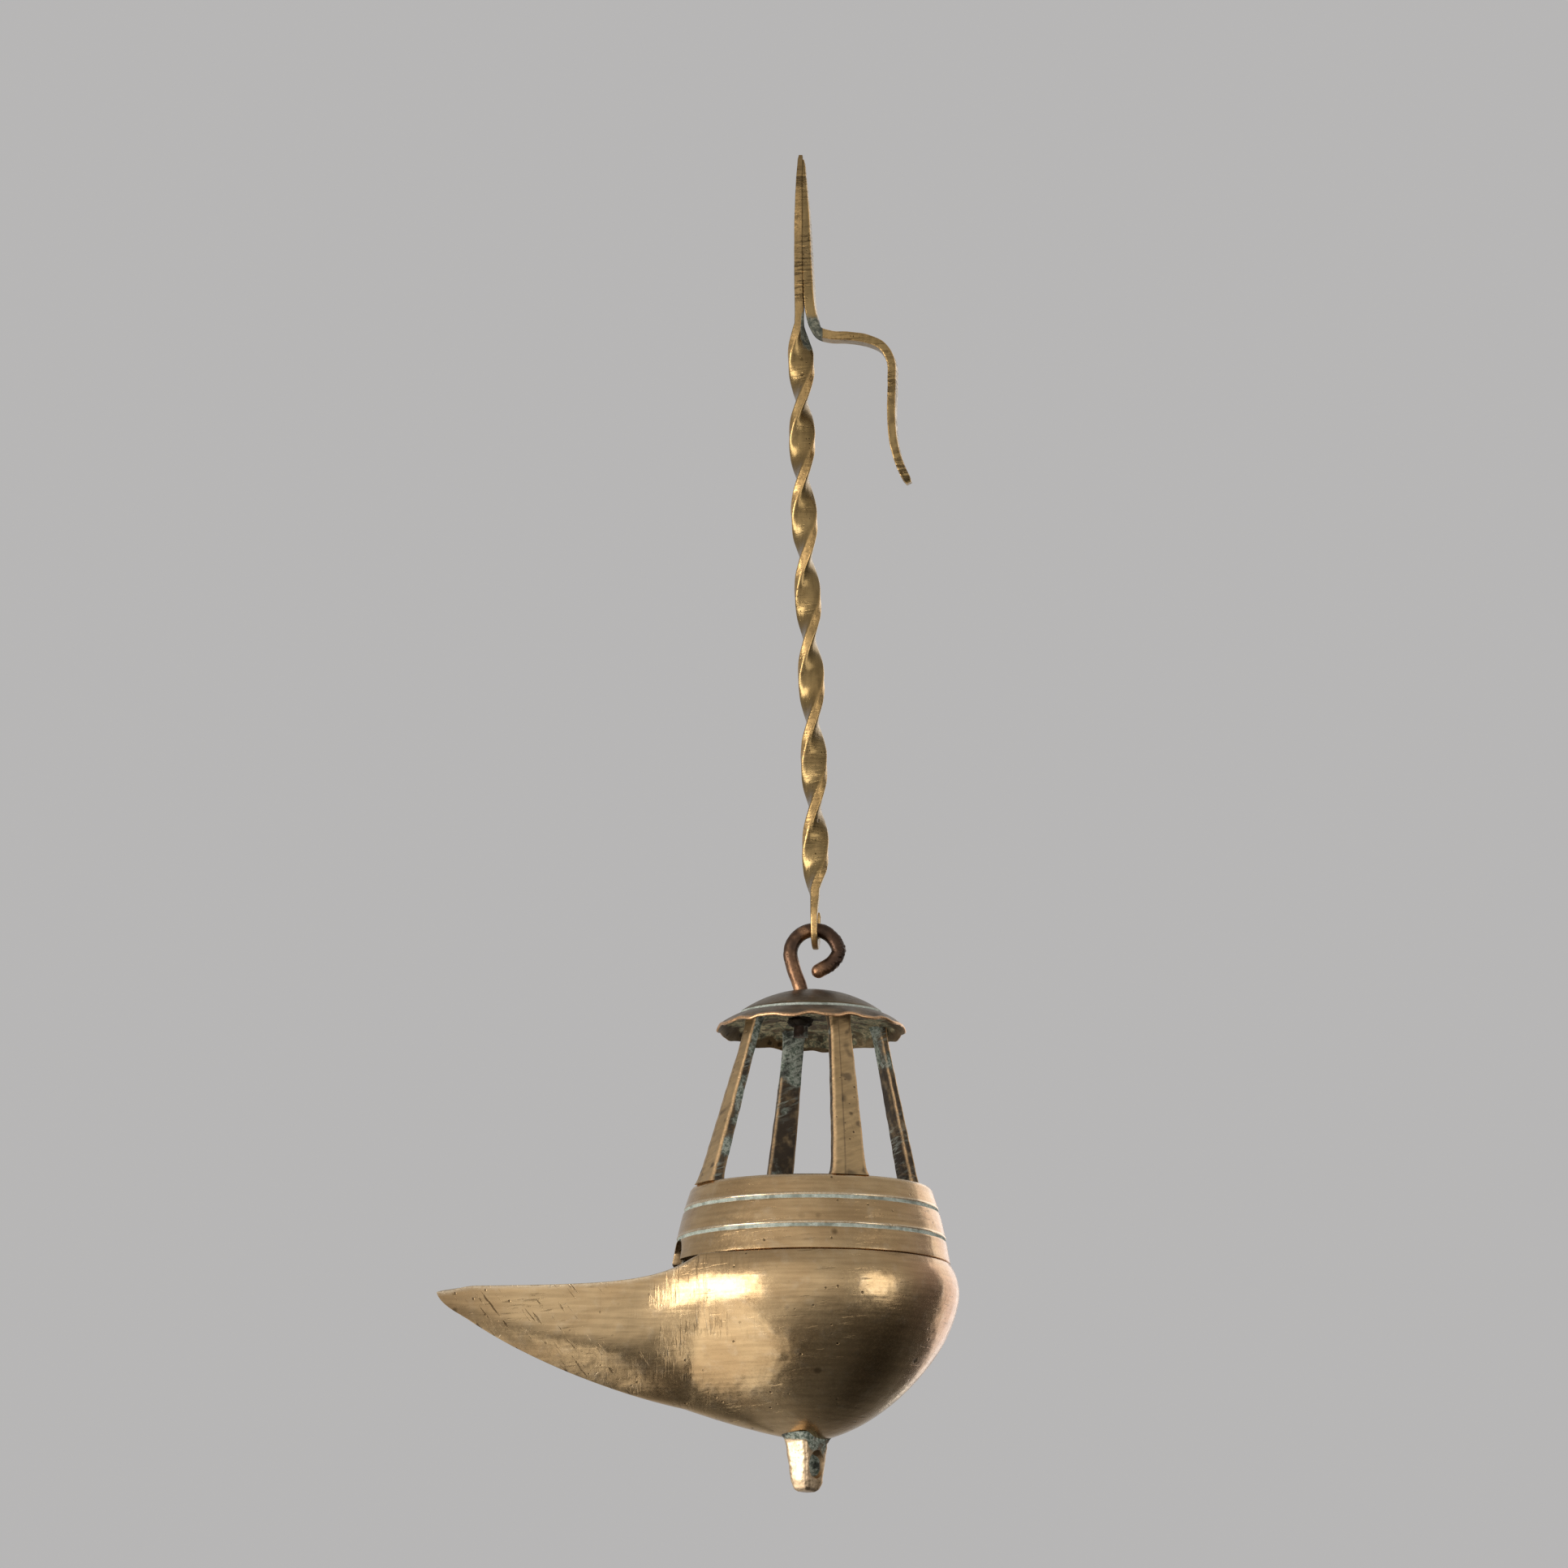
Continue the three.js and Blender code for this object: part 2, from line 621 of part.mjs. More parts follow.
// A tongue below the bowl, rounded at its foot and pierced from side to side.
function bottomLug() {
  const topZ = OUTSIDE.floor + LUG_ROOT;
  const up = new THREE.Vector3(0, 0, 1);
  const wide = new THREE.Vector3(1, 0, 0);
  const shape = [[0, 0.4], [0.05, 0.6], [0.18, 0.76], [0.5, 0.88], [0.84, 1], [1, 1.16]];
  const rings = shape.map(([share, size]) => {
    const centre = new THREE.Vector3(0, 0, LUG_BOTTOM_Z + (topZ - LUG_BOTTOM_Z) * share);
    return stripRing(centre, up, wide, LUG_WIDTH * size, LUG_THICKNESS * size);
  });
  const tongue = loft(rings);
  const hole = new THREE.CylinderGeometry(LUG_HOLE_RADIUS, LUG_HOLE_RADIUS, CUT_THROUGH, 16);
  hole.translate(0, 0, LUG_HOLE_Z);
  const pierced = cut(tongue, hole);
  pierced.rotateZ(LUG_TURN);
  pierced.translate(LUG_X, 0, 0);
  const bowl = loft(levels(14).map((level) => vesselRing(level, OUTSIDE)));
  bowl.translate(0, 0, -GAP);
  return cut(pierced, bowl);
}

function part(name, geometry, finish) {
  const mesh = new THREE.Mesh(geometry, finish);
  mesh.name = name;
  return mesh;
}

const group = new THREE.Group();
group.add(part("hanger_strip", hangerStrip(), GOLDEN_BRASS));
group.add(part("suspension_hook", suspensionHook(), DARK_COPPER));
const washer = part("stem_washer", stemWasher(), DARK_COPPER);
washer.position.set(STEM_X, 0, 0);
group.add(washer);

const lamp = new THREE.Group();
lamp.rotation.z = Math.PI + SPOUT_TURN;
lamp.position.set(STEM_X + STEM_OFFSET * Math.cos(SPOUT_TURN), STEM_OFFSET * Math.sin(SPOUT_TURN), 0);
lamp.add(part("canopy_cap", canopyCap(), BROWN_BRASS));
for (const each of STRUTS) lamp.add(part(each.name, strut(each), CRUSTED_BRASS));
lamp.add(part("neck_collar", neckCollar(), BROWN_BRASS));
lamp.add(part("oil_bowl", oilBowl(), BROWN_BRASS));
lamp.add(part("bottom_lug", bottomLug(), CRUSTED_BRASS));
group.add(lamp);

export default group;
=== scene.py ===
"""Looks of the hanging brass oil lamp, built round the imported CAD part.

Shapes are worked out in millimetres in the row frame and turned into metres when each mesh is made.
The lamp below the rod hook has its own frame: bowl axis at x = y = 0, spout along +x.
"""

import math
from collections import namedtuple

import bmesh
import bpy
import numpy as np
from mathutils import Matrix, Vector, noise


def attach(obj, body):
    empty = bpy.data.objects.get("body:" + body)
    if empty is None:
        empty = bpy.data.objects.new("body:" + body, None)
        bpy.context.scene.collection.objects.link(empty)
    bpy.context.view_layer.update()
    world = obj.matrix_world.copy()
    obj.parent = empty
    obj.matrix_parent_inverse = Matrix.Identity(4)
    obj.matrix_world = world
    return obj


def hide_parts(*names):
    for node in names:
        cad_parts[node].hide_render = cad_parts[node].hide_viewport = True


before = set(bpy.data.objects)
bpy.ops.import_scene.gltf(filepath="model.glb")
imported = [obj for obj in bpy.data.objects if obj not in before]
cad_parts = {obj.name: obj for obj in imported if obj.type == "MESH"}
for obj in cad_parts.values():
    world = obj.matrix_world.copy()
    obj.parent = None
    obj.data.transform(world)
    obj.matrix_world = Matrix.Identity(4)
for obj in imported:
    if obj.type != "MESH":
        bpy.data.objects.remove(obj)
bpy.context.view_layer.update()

MM = 0.001

# Dimensions shared with the CAD part, in millimetres.
SHANK_WIDTH, SHANK_THICKNESS = 8.3, 3.9
FIRST_WAIST_Z, HALF_TURN, HALF_TURNS, TWIST_DRIFT = 5.7, 26.9, 7, 0.12
EYE_X, EYE_RADIUS, EYE_LEAN, EYE_BAND, EYE_DEPTH, EYE_PLAY = -11.1, 4.8, 0.113, 2.2, 3.6, 0.3
SPIKE_YAW = 0.14
ROD_RADIUS, RING_RADIUS, RING_X, RING_Z = 2.35, 7.7, -10.9, -202.4
STEM_X, STEM_END_Z = -15.3, -230.4
SPOUT_TURN = math.radians(12)
STEM_OFFSET = 3.4
AXIS_X = STEM_X + STEM_OFFSET * math.cos(SPOUT_TURN)
AXIS_Y = STEM_OFFSET * math.sin(SPOUT_TURN)
APEX_Z, UNDERSIDE_Z = -214.2, -223.2
WASHER_BORE, WASHER_RADIUS, WASHER_DEPTH = 2.0, 3.9, 2.9
DOME_RADIUS, CAP_GROOVE, CAP_RIM, CAP_RIM_Z = 39.5, 23.0, 30.3, -225.9
SCALLOPS, SCALLOP_DEPTH = 14, 0.6
BRIM_DROOP, DROOP_SIDE = 2.9, math.radians(-112)
COLLAR_TOP_Z, COLLAR_FOOT_Z = -278.9, -303.5
COLLAR_TOP, COLLAR_FOOT, COLLAR_TOP_BORE, COLLAR_FOOT_BORE = 38.5, 44.2, 33.6, 41.2
COLLAR_GROOVES = (-286.4, -295.8)
NOTCH_WIDTH, NOTCH_HEIGHT = 12.0, 7.5
BOWL_RIM_Z, BULGE_Z = -303.8, -313.3
SPOUT_TIP, ROUNDNESS, RIM_TUCK = 121.5, 1.6, 2.7
KEEL_LEVEL_POWER, KEEL_REACH_POWER = 1.45, 0.74
ROUND_END, FLANK_SHARE, FLANK_LOST_AT_RIM = math.radians(58), 0.4, 0.3
OUTSIDE = dict(floor=-359.8, bulge=47.3, reach=SPOUT_TIP, mouth=36.8)
INSIDE = dict(floor=-355.4, bulge=44.5, reach=114.5, mouth=33.2)
LUG_X, LUG_TURN, LUG_WIDTH, LUG_THICKNESS = 1.6, math.radians(43), 13.4, 9.0
LUG_BOTTOM_Z, LUG_HOLE_RADIUS, LUG_HOLE_Z = -375.9, 2.9, -367.6

# Each pair is a value at the foot and at the top: turn about the axis in degrees, then millimetres.
# The last three say how pale, how crusted and how coppery the strut's inner face is.
STRUTS = {
    "front": dict(turn=(-71, -67.5), radius=(35.9, 22.2), width=(11, 6.4), depth=(3.6, 3.2),
                  aged=(0.1, 0.25, 0.3)),
    "right": dict(turn=(29, 28), radius=(36.7, 24.4), width=(9.8, 5.6), depth=(3, 2.4),
                  aged=(0.9, 0.1, 1.0)),
    "back": dict(turn=(108, 104), radius=(35.9, 22.2), width=(9, 6.2), depth=(3.4, 3),
                 aged=(1.0, 0.26, 0.4)),
    "left": dict(turn=(-154, -153), radius=(36.1, 20.1), width=(11, 5.6), depth=(4.4, 2.9),
                 aged=(0.35, 0.42, 0.2)),
}


# ---- numbers

def smooth_step(low, high, value):
    t = min(max((value - low) / (high - low), 0.0), 1.0)
    return t * t * (3 - 2 * t)


def bell(value, middle, width):
    return math.exp(-(((value - middle) / width) ** 2))


def blend(ends, share):
    return ends[0] + (ends[1] - ends[0]) * share


def rough(point, scale, seed=0.0):
    """Smooth noise from -1 to 1 at a point in millimetres; scale is in lumps per millimetre."""
    return noise.noise(Vector(point) * scale + Vector((seed, seed * 1.7, -seed)))


def between(stations, place):
    return float(np.interp(place, [s[0] for s in stations], [s[1] for s in stations]))


def path_through(points, count):
    """Points and unit tangents evenly spaced along a centripetal Catmull-Rom curve."""
    pts = [np.array(p, float) for p in points]
    pts = [2 * pts[0] - pts[1]] + pts + [2 * pts[-1] - pts[-2]]
    dense = []
    for i in range(1, len(pts) - 2):
        a, b, c, d = pts[i - 1:i + 3]
        t0, t1, t2 = (max(np.linalg.norm(q - p) ** 0.5, 1e-4) for p, q in ((a, b), (b, c), (c, d)))
        m1 = ((b - a) / t0 - (c - a) / (t0 + t1) + (c - b) / t1) * t1
        m2 = ((c - b) / t1 - (d - b) / (t1 + t2) + (d - c) / t2) * t1
        square, cube = 3 * (c - b) - 2 * m1 - m2, 2 * (b - c) + m1 + m2
        for t in np.linspace(0, 1, 60, endpoint=False):
            dense.append(b + m1 * t + square * t ** 2 + cube * t ** 3)
    dense = np.array(dense + [pts[-2]])
    run = np.concatenate([[0], np.cumsum(np.linalg.norm(np.diff(dense, axis=0), axis=1))])
    even = np.linspace(0, run[-1], count)
    line = np.stack([np.interp(even, run, dense[:, k]) for k in range(3)], 1)
    tangent = np.gradient(line, axis=0)
    return line, tangent / np.linalg.norm(tangent, axis=1)[:, None]


# ---- meshes

class Masks(dict):
    """Lists with one value from 0 to 1 for each vertex, which the materials read by name."""

    def __init__(self, *names):
        super().__init__((name, []) for name in names)

    def add(self, **values):
        for name, value in values.items():
            self[name].append(value)

    def cap(self, start, end):
        """Values for the two middle vertices that skin() adds where it closes the ends."""
        for values in self.values():
            values += [start, end]


def aim_faces_out(mesh, merge=0.0):
    bm = bmesh.new()
    bm.from_mesh(mesh)
    if merge:
        bmesh.ops.remove_doubles(bm, verts=bm.verts, dist=merge)
    bmesh.ops.recalc_face_normals(bm, faces=bm.faces)
    bm.to_mesh(mesh)
    bm.free()


def make_piece(name, verts, faces, material, body, nodes, masks, sharp=50):
    """A mesh object from millimetre vertices, riding on its body and standing for its CAD nodes."""
    mesh = bpy.data.meshes.new(name)
    mesh.from_pydata([tuple(float(c) * MM for c in v) for v in verts], [], faces)
    for key, values in masks.items():
        layer = mesh.attributes.new(key, "FLOAT", "POINT")
        layer.data.foreach_set("value", np.clip(np.array(values, np.float32), 0, 1))
    mesh.validate()
    aim_faces_out(mesh, merge=1e-6)
    mesh.shade_smooth()
    mesh.set_sharp_from_angle(angle=math.radians(sharp))
    mesh.materials.append(material)
    piece = bpy.data.objects.new(name, mesh)
    bpy.context.scene.collection.objects.link(piece)
    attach(piece, body)
    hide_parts(*nodes)
    return piece


def skin(rings, wrap=False, open_rings=False):
    """Vertices and faces of a skin through rings with equally many points.

    The last ring joins the first with wrap, and the two end rings are closed without it.
    """
    count = len(rings[0])
    verts = [p for ring in rings for p in ring]
    faces = []
    for i in range(len(rings) if wrap else len(rings) - 1):
        low, high = i * count, ((i + 1) % len(rings)) * count
        for j in range(count - open_rings):
            k = (j + 1) % count
            faces.append((low + j, low + k, high + k, high + j))
    if not wrap:
        for start, flip in ((0, True), ((len(rings) - 1) * count, False)):
            verts.append(np.mean(np.array(verts[start:start + count]), axis=0))
            tip = len(verts) - 1
            for j in range(count):
                a, b = start + j, start + (j + 1) % count
                faces.append((tip, b, a) if flip else (tip, a, b))
    return verts, faces


def lamp_to_row(point):
    turn = math.pi + SPOUT_TURN
    x, y, z = point
    return (
        AXIS_X + x * math.cos(turn) - y * math.sin(turn),
        AXIS_Y + x * math.sin(turn) + y * math.cos(turn),
        z,
    )


def rounded_section(width, thickness, count, power):
    """Points round a superellipse; a higher power gives squarer corners."""
    section = []
    for k in range(count):
        angle = 2 * math.pi * k / count
        c, s = math.cos(angle), math.sin(angle)
        section.append((
            width / 2 * math.copysign(abs(c) ** (2 / power), c),
            thickness / 2 * math.copysign(abs(s) ** (2 / power), s),
        ))
    return section


# ---- materials

class Nodes:
    """The node tree of a material or of the world, emptied and built node by node."""

    def __init__(self, owner):
        owner.use_nodes = True
        self.owner, self.tree = owner, owner.node_tree
        self.tree.nodes.clear()

    def node(self, kind, **settings):
        made = self.tree.nodes.new(kind)
        for key, value in settings.items():
            setattr(made, key, value)
        return made

    def feed(self, socket, value):
        if isinstance(value, bpy.types.NodeSocket):
            self.tree.links.new(value, socket)
        elif isinstance(value, (tuple, list)) and len(value) == 3 and socket.type == "RGBA":
            socket.default_value = (*value, 1)
        else:
            socket.default_value = value

    def range(self, value, low, high, to_low=0.0, to_high=1.0):
        made = self.node("ShaderNodeMapRange", interpolation_type="SMOOTHSTEP")
        for key, number in (("Value", value), ("From Min", low), ("From Max", high),
                            ("To Min", to_low), ("To Max", to_high)):
            self.feed(made.inputs[key], number)
        return made.outputs[0]

    def math(self, operation, a, b=0.0, clamp=False):
        made = self.node("ShaderNodeMath", operation=operation, use_clamp=clamp)
        self.feed(made.inputs[0], a)
        self.feed(made.inputs[1], b)
        return made.outputs[0]

    def plus(self, a, b, clamp=False):
        return self.math("ADD", a, b, clamp)

    def minus(self, a, b, clamp=False):
        return self.math("SUBTRACT", a, b, clamp)

    def times(self, a, b, clamp=False):
        return self.math("MULTIPLY", a, b, clamp)


class Finish(Nodes):
    """A procedural metal in object coordinates."""

    def __init__(self, name):
        super().__init__(bpy.data.materials.new(name))
        self.coords = self.node("ShaderNodeTexCoord").outputs["Object"]

    def mask(self, name):
        return self.node("ShaderNodeAttribute", attribute_name=name).outputs["Fac"]

    def place(self, per_mm, turn=(0, 0, 0)):
        """Coordinates turned by degrees, then scaled by lumps per millimetre along each axis."""
        turned = self.node("ShaderNodeMapping")
        self.feed(turned.inputs["Vector"], self.coords)
        turned.inputs["Rotation"].default_value = [math.radians(t) for t in turn]
        scaled = self.node("ShaderNodeMapping")
        self.feed(scaled.inputs["Vector"], turned.outputs[0])
        scale = per_mm if isinstance(per_mm, (tuple, list)) else (per_mm,) * 3
        scaled.inputs["Scale"].default_value = [s / MM for s in scale]
        return scaled.outputs[0]

    def noise(self, per_mm, detail=3.0, rough_share=0.55, turn=(0, 0, 0), warp=0.0):
        made = self.node("ShaderNodeTexNoise")
        self.feed(made.inputs["Vector"], self.place(per_mm, turn))
        made.inputs["Scale"].default_value = 1.0
        made.inputs["Detail"].default_value = detail
        made.inputs["Roughness"].default_value = rough_share
        made.inputs["Distortion"].default_value = warp
        return made.outputs["Fac"]

    def mix(self, share, a, b):
        made = self.node("ShaderNodeMix", data_type="RGBA", blend_type="MIX")
        self.feed(made.inputs[0], share)
        self.feed(made.inputs[6], a)
        self.feed(made.inputs[7], b)
        return made.outputs[2]

    def axis(self, name):
        split = self.node("ShaderNodeSeparateXYZ")
        self.feed(split.inputs[0], self.coords)
        return split.outputs[name]

    def pits(self, per_mm, size, share):
        """Small round spots, kept in only some cells."""
        made = self.node("ShaderNodeTexVoronoi")
        self.feed(made.inputs["Vector"], self.place(per_mm))
        made.inputs["Scale"].default_value = 1.0
        spot = self.range(made.outputs["Distance"], size * 0.45, size, 1.0, 0.0)
        split = self.node("ShaderNodeSeparateColor")
        self.feed(split.inputs[0], made.outputs["Color"])
        return self.times(spot, self.math("LESS_THAN", split.outputs[0], share))

    def streaks(self, per_mm, turn, low, high):
        """Fine lines, in patches, for file marks and scratches."""
        lines = self.range(self.noise(per_mm, 4.0, 0.6, turn), low, high)
        return self.times(lines, self.range(self.noise(0.06, 2.0), 0.42, 0.6))

    def finish(self, color, roughness, metallic, height, depth):
        """Surface from its color and its relief; depth is the relief's height in millimetres."""
        bsdf = self.node("ShaderNodeBsdfPrincipled")
        out = self.node("ShaderNodeOutputMaterial")
        self.feed(bsdf.inputs["Base Color"], color)
        self.feed(bsdf.inputs["Roughness"], roughness)
        self.feed(bsdf.inputs["Metallic"], metallic)
        bump = self.node("ShaderNodeBump")
        bump.inputs["Strength"].default_value = 1.0
        bump.inputs["Distance"].default_value = depth * MM
        self.feed(bump.inputs["Height"], height)
        self.feed(bsdf.inputs["Normal"], bump.outputs[0])
        self.feed(out.inputs["Surface"], bsdf.outputs[0])
        return self.owner


# Thin marks: lumps per millimetre along each axis, turn in degrees, the noise values where a mark starts
# and is full, its strength, the mask that holds it (or None) and its tone: dark, bright or pale.
Cut = namedtuple("Cut", "per_mm turn low high strength mask tone")


def draw_cuts(f, cuts, tones, color, relief):
    for cut in cuts:
        lines = f.streaks(cut.per_mm, cut.turn, cut.low, cut.high)
        if cut.mask:
            lines = f.times(lines, f.mask(cut.mask))
        lines = f.times(lines, cut.strength)
        color = f.mix(lines, color, tones[cut.tone])
        relief = f.minus(relief, lines)
    return color, relief


def aged_metal(name, base, tint, grime, bright, crust, roughness, brush, brush_depth, pit_share, lumps,
               brush_turn=(0, 0, 0), pit_scale=0.35, painted_side_shade=None, cuts=(), depth=0.22, grain=4.0):
    """Brass or copper with rubbed spots, dirt, pits, brushing and crust; the rubbed and dirty shares also
    paint highlights and shade where a piece's masks ask for it, and an optional band of painted shade
    darkens one side; pale cuts go over the crust.
    """
    f = Finish(name)
    pale, green, black = crust
    tones = dict(dark=grime, bright=bright, pale=pale)
    broad = f.noise(0.035, 3.0, 0.6)
    middle = f.noise(0.22, 4.0, 0.6)
    fine = f.noise(1.3, 4.0, 0.65)
    swells = f.noise(0.22, grain, 0.5)
    brushing = f.noise(brush, 2.0, 0.45, brush_turn)

    grime_and_shade_share = f.times(f.mask("grime"), f.range(middle, 0.2, 0.55, 0.55, 1.0), clamp=True)
    crusty = f.plus(f.mask("crust"), f.times(f.minus(middle, 0.5), 0.9))
    crusty = f.times(f.range(crusty, 0.38, 0.62), f.range(f.mask("crust"), 0.02, 0.2))
    rubbed_and_lit = f.times(f.mask("wear"), f.range(fine, 0.3, 0.6, 0.35, 1.0), clamp=True)
    spots = f.pits(pit_scale, 0.34, pit_share)
    pores = f.pits(pit_scale * 2.6, 0.3, pit_share * 0.8)
    pitted = f.math("MAXIMUM", f.times(spots, 0.75), f.times(pores, 0.85))
    pitted = f.times(pitted, f.range(f.noise(0.06, 2.0), 0.42, 0.62, 0.15, 1.0))

    color = f.mix(f.range(broad, 0.38, 0.64), base, tint)
    # Painted shade: a darker, rosier tone across a band of X, the piece's right side as the camera sees it.
    if painted_side_shade is not None:
        low, high, rosy = painted_side_shade
        side = f.range(f.axis("X"), low * MM, high * MM)
        color = f.mix(f.times(side, f.range(broad, 0.3, 0.6, 0.5, 1.0)), color, rosy)
    color = f.mix(f.range(brushing, 0.3, 0.7, 0.22, 0.0), color, grime)
    color = f.mix(f.range(middle, 0.5, 0.75, 0.0, 0.12), color, bright)
    # Dark tone over pits and over the grime and shade share, which holds dirt and, on some pieces, painted
    # shade; bright tone over the rubbed share, which holds wear and, on some pieces, painted highlights.
    for share, over in ((pitted, grime), (grime_and_shade_share, grime), (rubbed_and_lit, bright)):
        color = f.mix(share, color, over)
    relief = f.plus(f.times(brushing, brush_depth), f.times(swells, lumps))
    relief = f.minus(relief, f.times(pitted, 0.8))
    color, relief = draw_cuts(f, [c for c in cuts if c.tone != "pale"], tones, color, relief)

    crust_noise = f.noise(0.8, 4.0, 0.7, warp=0.6)
    scale_color = f.mix(f.range(crust_noise, 0.40, 0.62), green, pale)
    scale_color = f.mix(f.range(middle, 0.36, 0.5, 0.85, 0.0), scale_color, black)
    color = f.mix(crusty, color, scale_color)
    relief = f.plus(relief, f.times(crusty, f.range(crust_noise, 0.2, 0.8, 0.2, 1.1)))
    color, relief = draw_cuts(f, [c for c in cuts if c.tone == "pale"], tones, color, relief)

    dull = f.range(fine, 0.2, 0.8, roughness - 0.06, roughness + 0.12)
    dull = f.plus(f.plus(dull, f.times(crusty, 0.45)), f.times(grime_and_shade_share, 0.2), clamp=True)
    metallic = f.minus(1.0, f.times(crusty, 0.9))
    metallic = f.minus(metallic, f.times(grime_and_shade_share, 0.35), clamp=True)
    return f.finish(color, dull, metallic, relief, depth)


# Crusts, each as its pale, green and black parts.
VERDIGRIS = ((0.40, 0.42, 0.35), (0.085, 0.11, 0.08), (0.018, 0.016, 0.012))
PALE_LINE = ((0.60, 0.62, 0.54), (0.42, 0.46, 0.39), (0.26, 0.28, 0.23))
SOOTY = ((0.22, 0.21, 0.15), (0.06, 0.065, 0.045), (0.012, 0.010, 0.008))
UNDERSIDE = ((0.56, 0.46, 0.27), (0.17, 0.18, 0.11), (0.02, 0.016, 0.011))

# The bowl paints a darker, rosier shade across its right flank, from X = 12 to 34 mm.
bowl_brass = aged_metal(
    "bowl_brass", base=(0.61, 0.425, 0.225), tint=(0.51, 0.335, 0.168), grime=(0.10, 0.062, 0.028),
    bright=(0.93, 0.80, 0.60), crust=PALE_LINE, roughness=0.2, brush=(0.07, 0.07, 0.9), brush_depth=0.22,
    pit_share=0.07, pit_scale=0.2, lumps=0.9, depth=0.16, grain=1.5, painted_side_shade=(12, 34, (0.54, 0.31, 0.19)),
    cuts=(
        Cut((1.1, 0.3, 0.07), (0, 0, 0), 0.50, 0.66, 0.6, "file", "dark"),
        Cut((1.3, 0.3, 0.08), (0, 3, 0), 0.56, 0.70, 0.3, "file", "bright"),
        Cut((0.9, 0.2, 0.085), (0, 38, 0), 0.60, 0.68, 0.85, "scratch", "dark"),
        Cut((0.8, 0.2, 0.08), (0, -52, 0), 0.66, 0.74, 0.3, "scratch", "bright"),
        Cut((0.1, 0.1, 1.1), (0, 6, 0), 0.60, 0.74, 0.4, None, "dark"),
    ),
)
canopy_brass = aged_metal(
    "canopy_brass", base=(0.20, 0.148, 0.088), tint=(0.155, 0.11, 0.062), grime=(0.022, 0.016, 0.010),
    bright=(0.78, 0.46, 0.24), crust=PALE_LINE, roughness=0.34, brush=(0.12, 0.12, 2.0), brush_depth=0.2,
    pit_share=0.12, lumps=0.35,
)
canopy_underside = aged_metal(
    "canopy_underside", base=(0.30, 0.22, 0.12), tint=(0.22, 0.16, 0.09), grime=(0.022, 0.016, 0.010),
    bright=(0.5, 0.36, 0.2), crust=UNDERSIDE, roughness=0.5, brush=(0.5, 0.5, 0.5), brush_depth=0.4,
    pit_share=0.5, pit_scale=0.3, lumps=1.0,
)
strut_brass = aged_metal(
    "strut_brass", base=(0.62, 0.43, 0.22), tint=(0.52, 0.35, 0.17), grime=(0.030, 0.022, 0.017),
    bright=(0.86, 0.56, 0.29), crust=VERDIGRIS, roughness=0.38, brush=(0.2, 0.2, 1.0), brush_turn=(0, 20, 0),
    brush_depth=0.3, pit_share=0.34, pit_scale=0.27, lumps=0.7,
    cuts=(
        Cut((1.1, 1.1, 0.3), (18, 0, 0), 0.58, 0.68, 0.5, "grime", "dark"),
        Cut((0.16, 0.16, 1.15), (0, 22, 0), 0.48, 0.60, 0.8, "hatch", "pale"),
        Cut((0.2, 0.2, 1.2), (0, -16, 0), 0.56, 0.68, 0.5, "copper", "bright"),
    ),
)
hanger_brass = aged_metal(
    "hanger_brass", base=(0.33, 0.226, 0.098), tint=(0.26, 0.172, 0.07), grime=(0.06, 0.038, 0.016),
    bright=(0.88, 0.55, 0.22), crust=SOOTY, roughness=0.24, brush=(0.9, 0.9, 0.12), brush_depth=0.25,
    pit_share=0.22, pit_scale=0.4, lumps=0.9, grain=1.5,
    cuts=(
        Cut((0.1, 0.1, 1.3), (0, 4, 0), 0.48, 0.62, 0.8, "file", "dark"),
        Cut((0.1, 0.1, 1.1), (0, -3, 0), 0.56, 0.70, 0.45, "file", "bright"),
    ),
)
hook_copper = aged_metal(
    "hook_copper", base=(0.105, 0.060, 0.038), tint=(0.080, 0.044, 0.029), grime=(0.020, 0.014, 0.011),
    bright=(0.62, 0.33, 0.17), crust=VERDIGRIS, roughness=0.36, brush=(0.5, 0.5, 0.5), brush_depth=0.25,
    pit_share=0.3, pit_scale=0.45, lumps=0.8,
)
burr_black = aged_metal(
    "burr_black", base=(0.045, 0.030, 0.020), tint=(0.03, 0.02, 0.014), grime=(0.010, 0.008, 0.006),
    bright=(0.5, 0.36, 0.2), crust=SOOTY, roughness=0.5, brush=(0.7, 0.7, 0.7), brush_depth=0.4,
    pit_share=0.4, pit_scale=0.5, lumps=1.0,
)
lug_brass = aged_metal(
    "lug_brass", base=(0.52, 0.36, 0.20), tint=(0.42, 0.28, 0.155), grime=(0.030, 0.024, 0.017),
    bright=(0.90, 0.68, 0.44), crust=VERDIGRIS, roughness=0.34, brush=(1.0, 1.0, 0.6), brush_depth=0.3,
    pit_share=0.5, pit_scale=0.4, lumps=0.9,
)


# ---- hanger

STRIP_SIDES = 48


def strip_ring(centre, tangent, wide, width, thickness, power):
    wide = wide - tangent * wide.dot(tangent)
    across = wide / np.linalg.norm(wide)
    through = np.cross(tangent, across)
    section = rounded_section(width, thickness, STRIP_SIDES, power)
    return [centre + across * s + through * t for s, t in section]


def shank_twist(z):
    turns = min(max((FIRST_WAIST_Z - z) / HALF_TURN, 0), HALF_TURNS)
    return -math.pi * (turns + TWIST_DRIFT * math.sin(math.pi * turns / HALF_TURNS))


def narrow_edge(k):
    """1 on the two narrow edges of a section, 0 on its broad faces."""
    return smooth_step(0.62, 0.95, abs(math.cos(2 * math.pi * k / STRIP_SIDES)))


def dented(centre, p, depth, scale, seed):
    """The point p moved in or out from the centre by the dents of hammering or filing."""
    out = (p - centre) / np.linalg.norm(p - centre)
    return p + out * depth * rough(p, scale, seed)


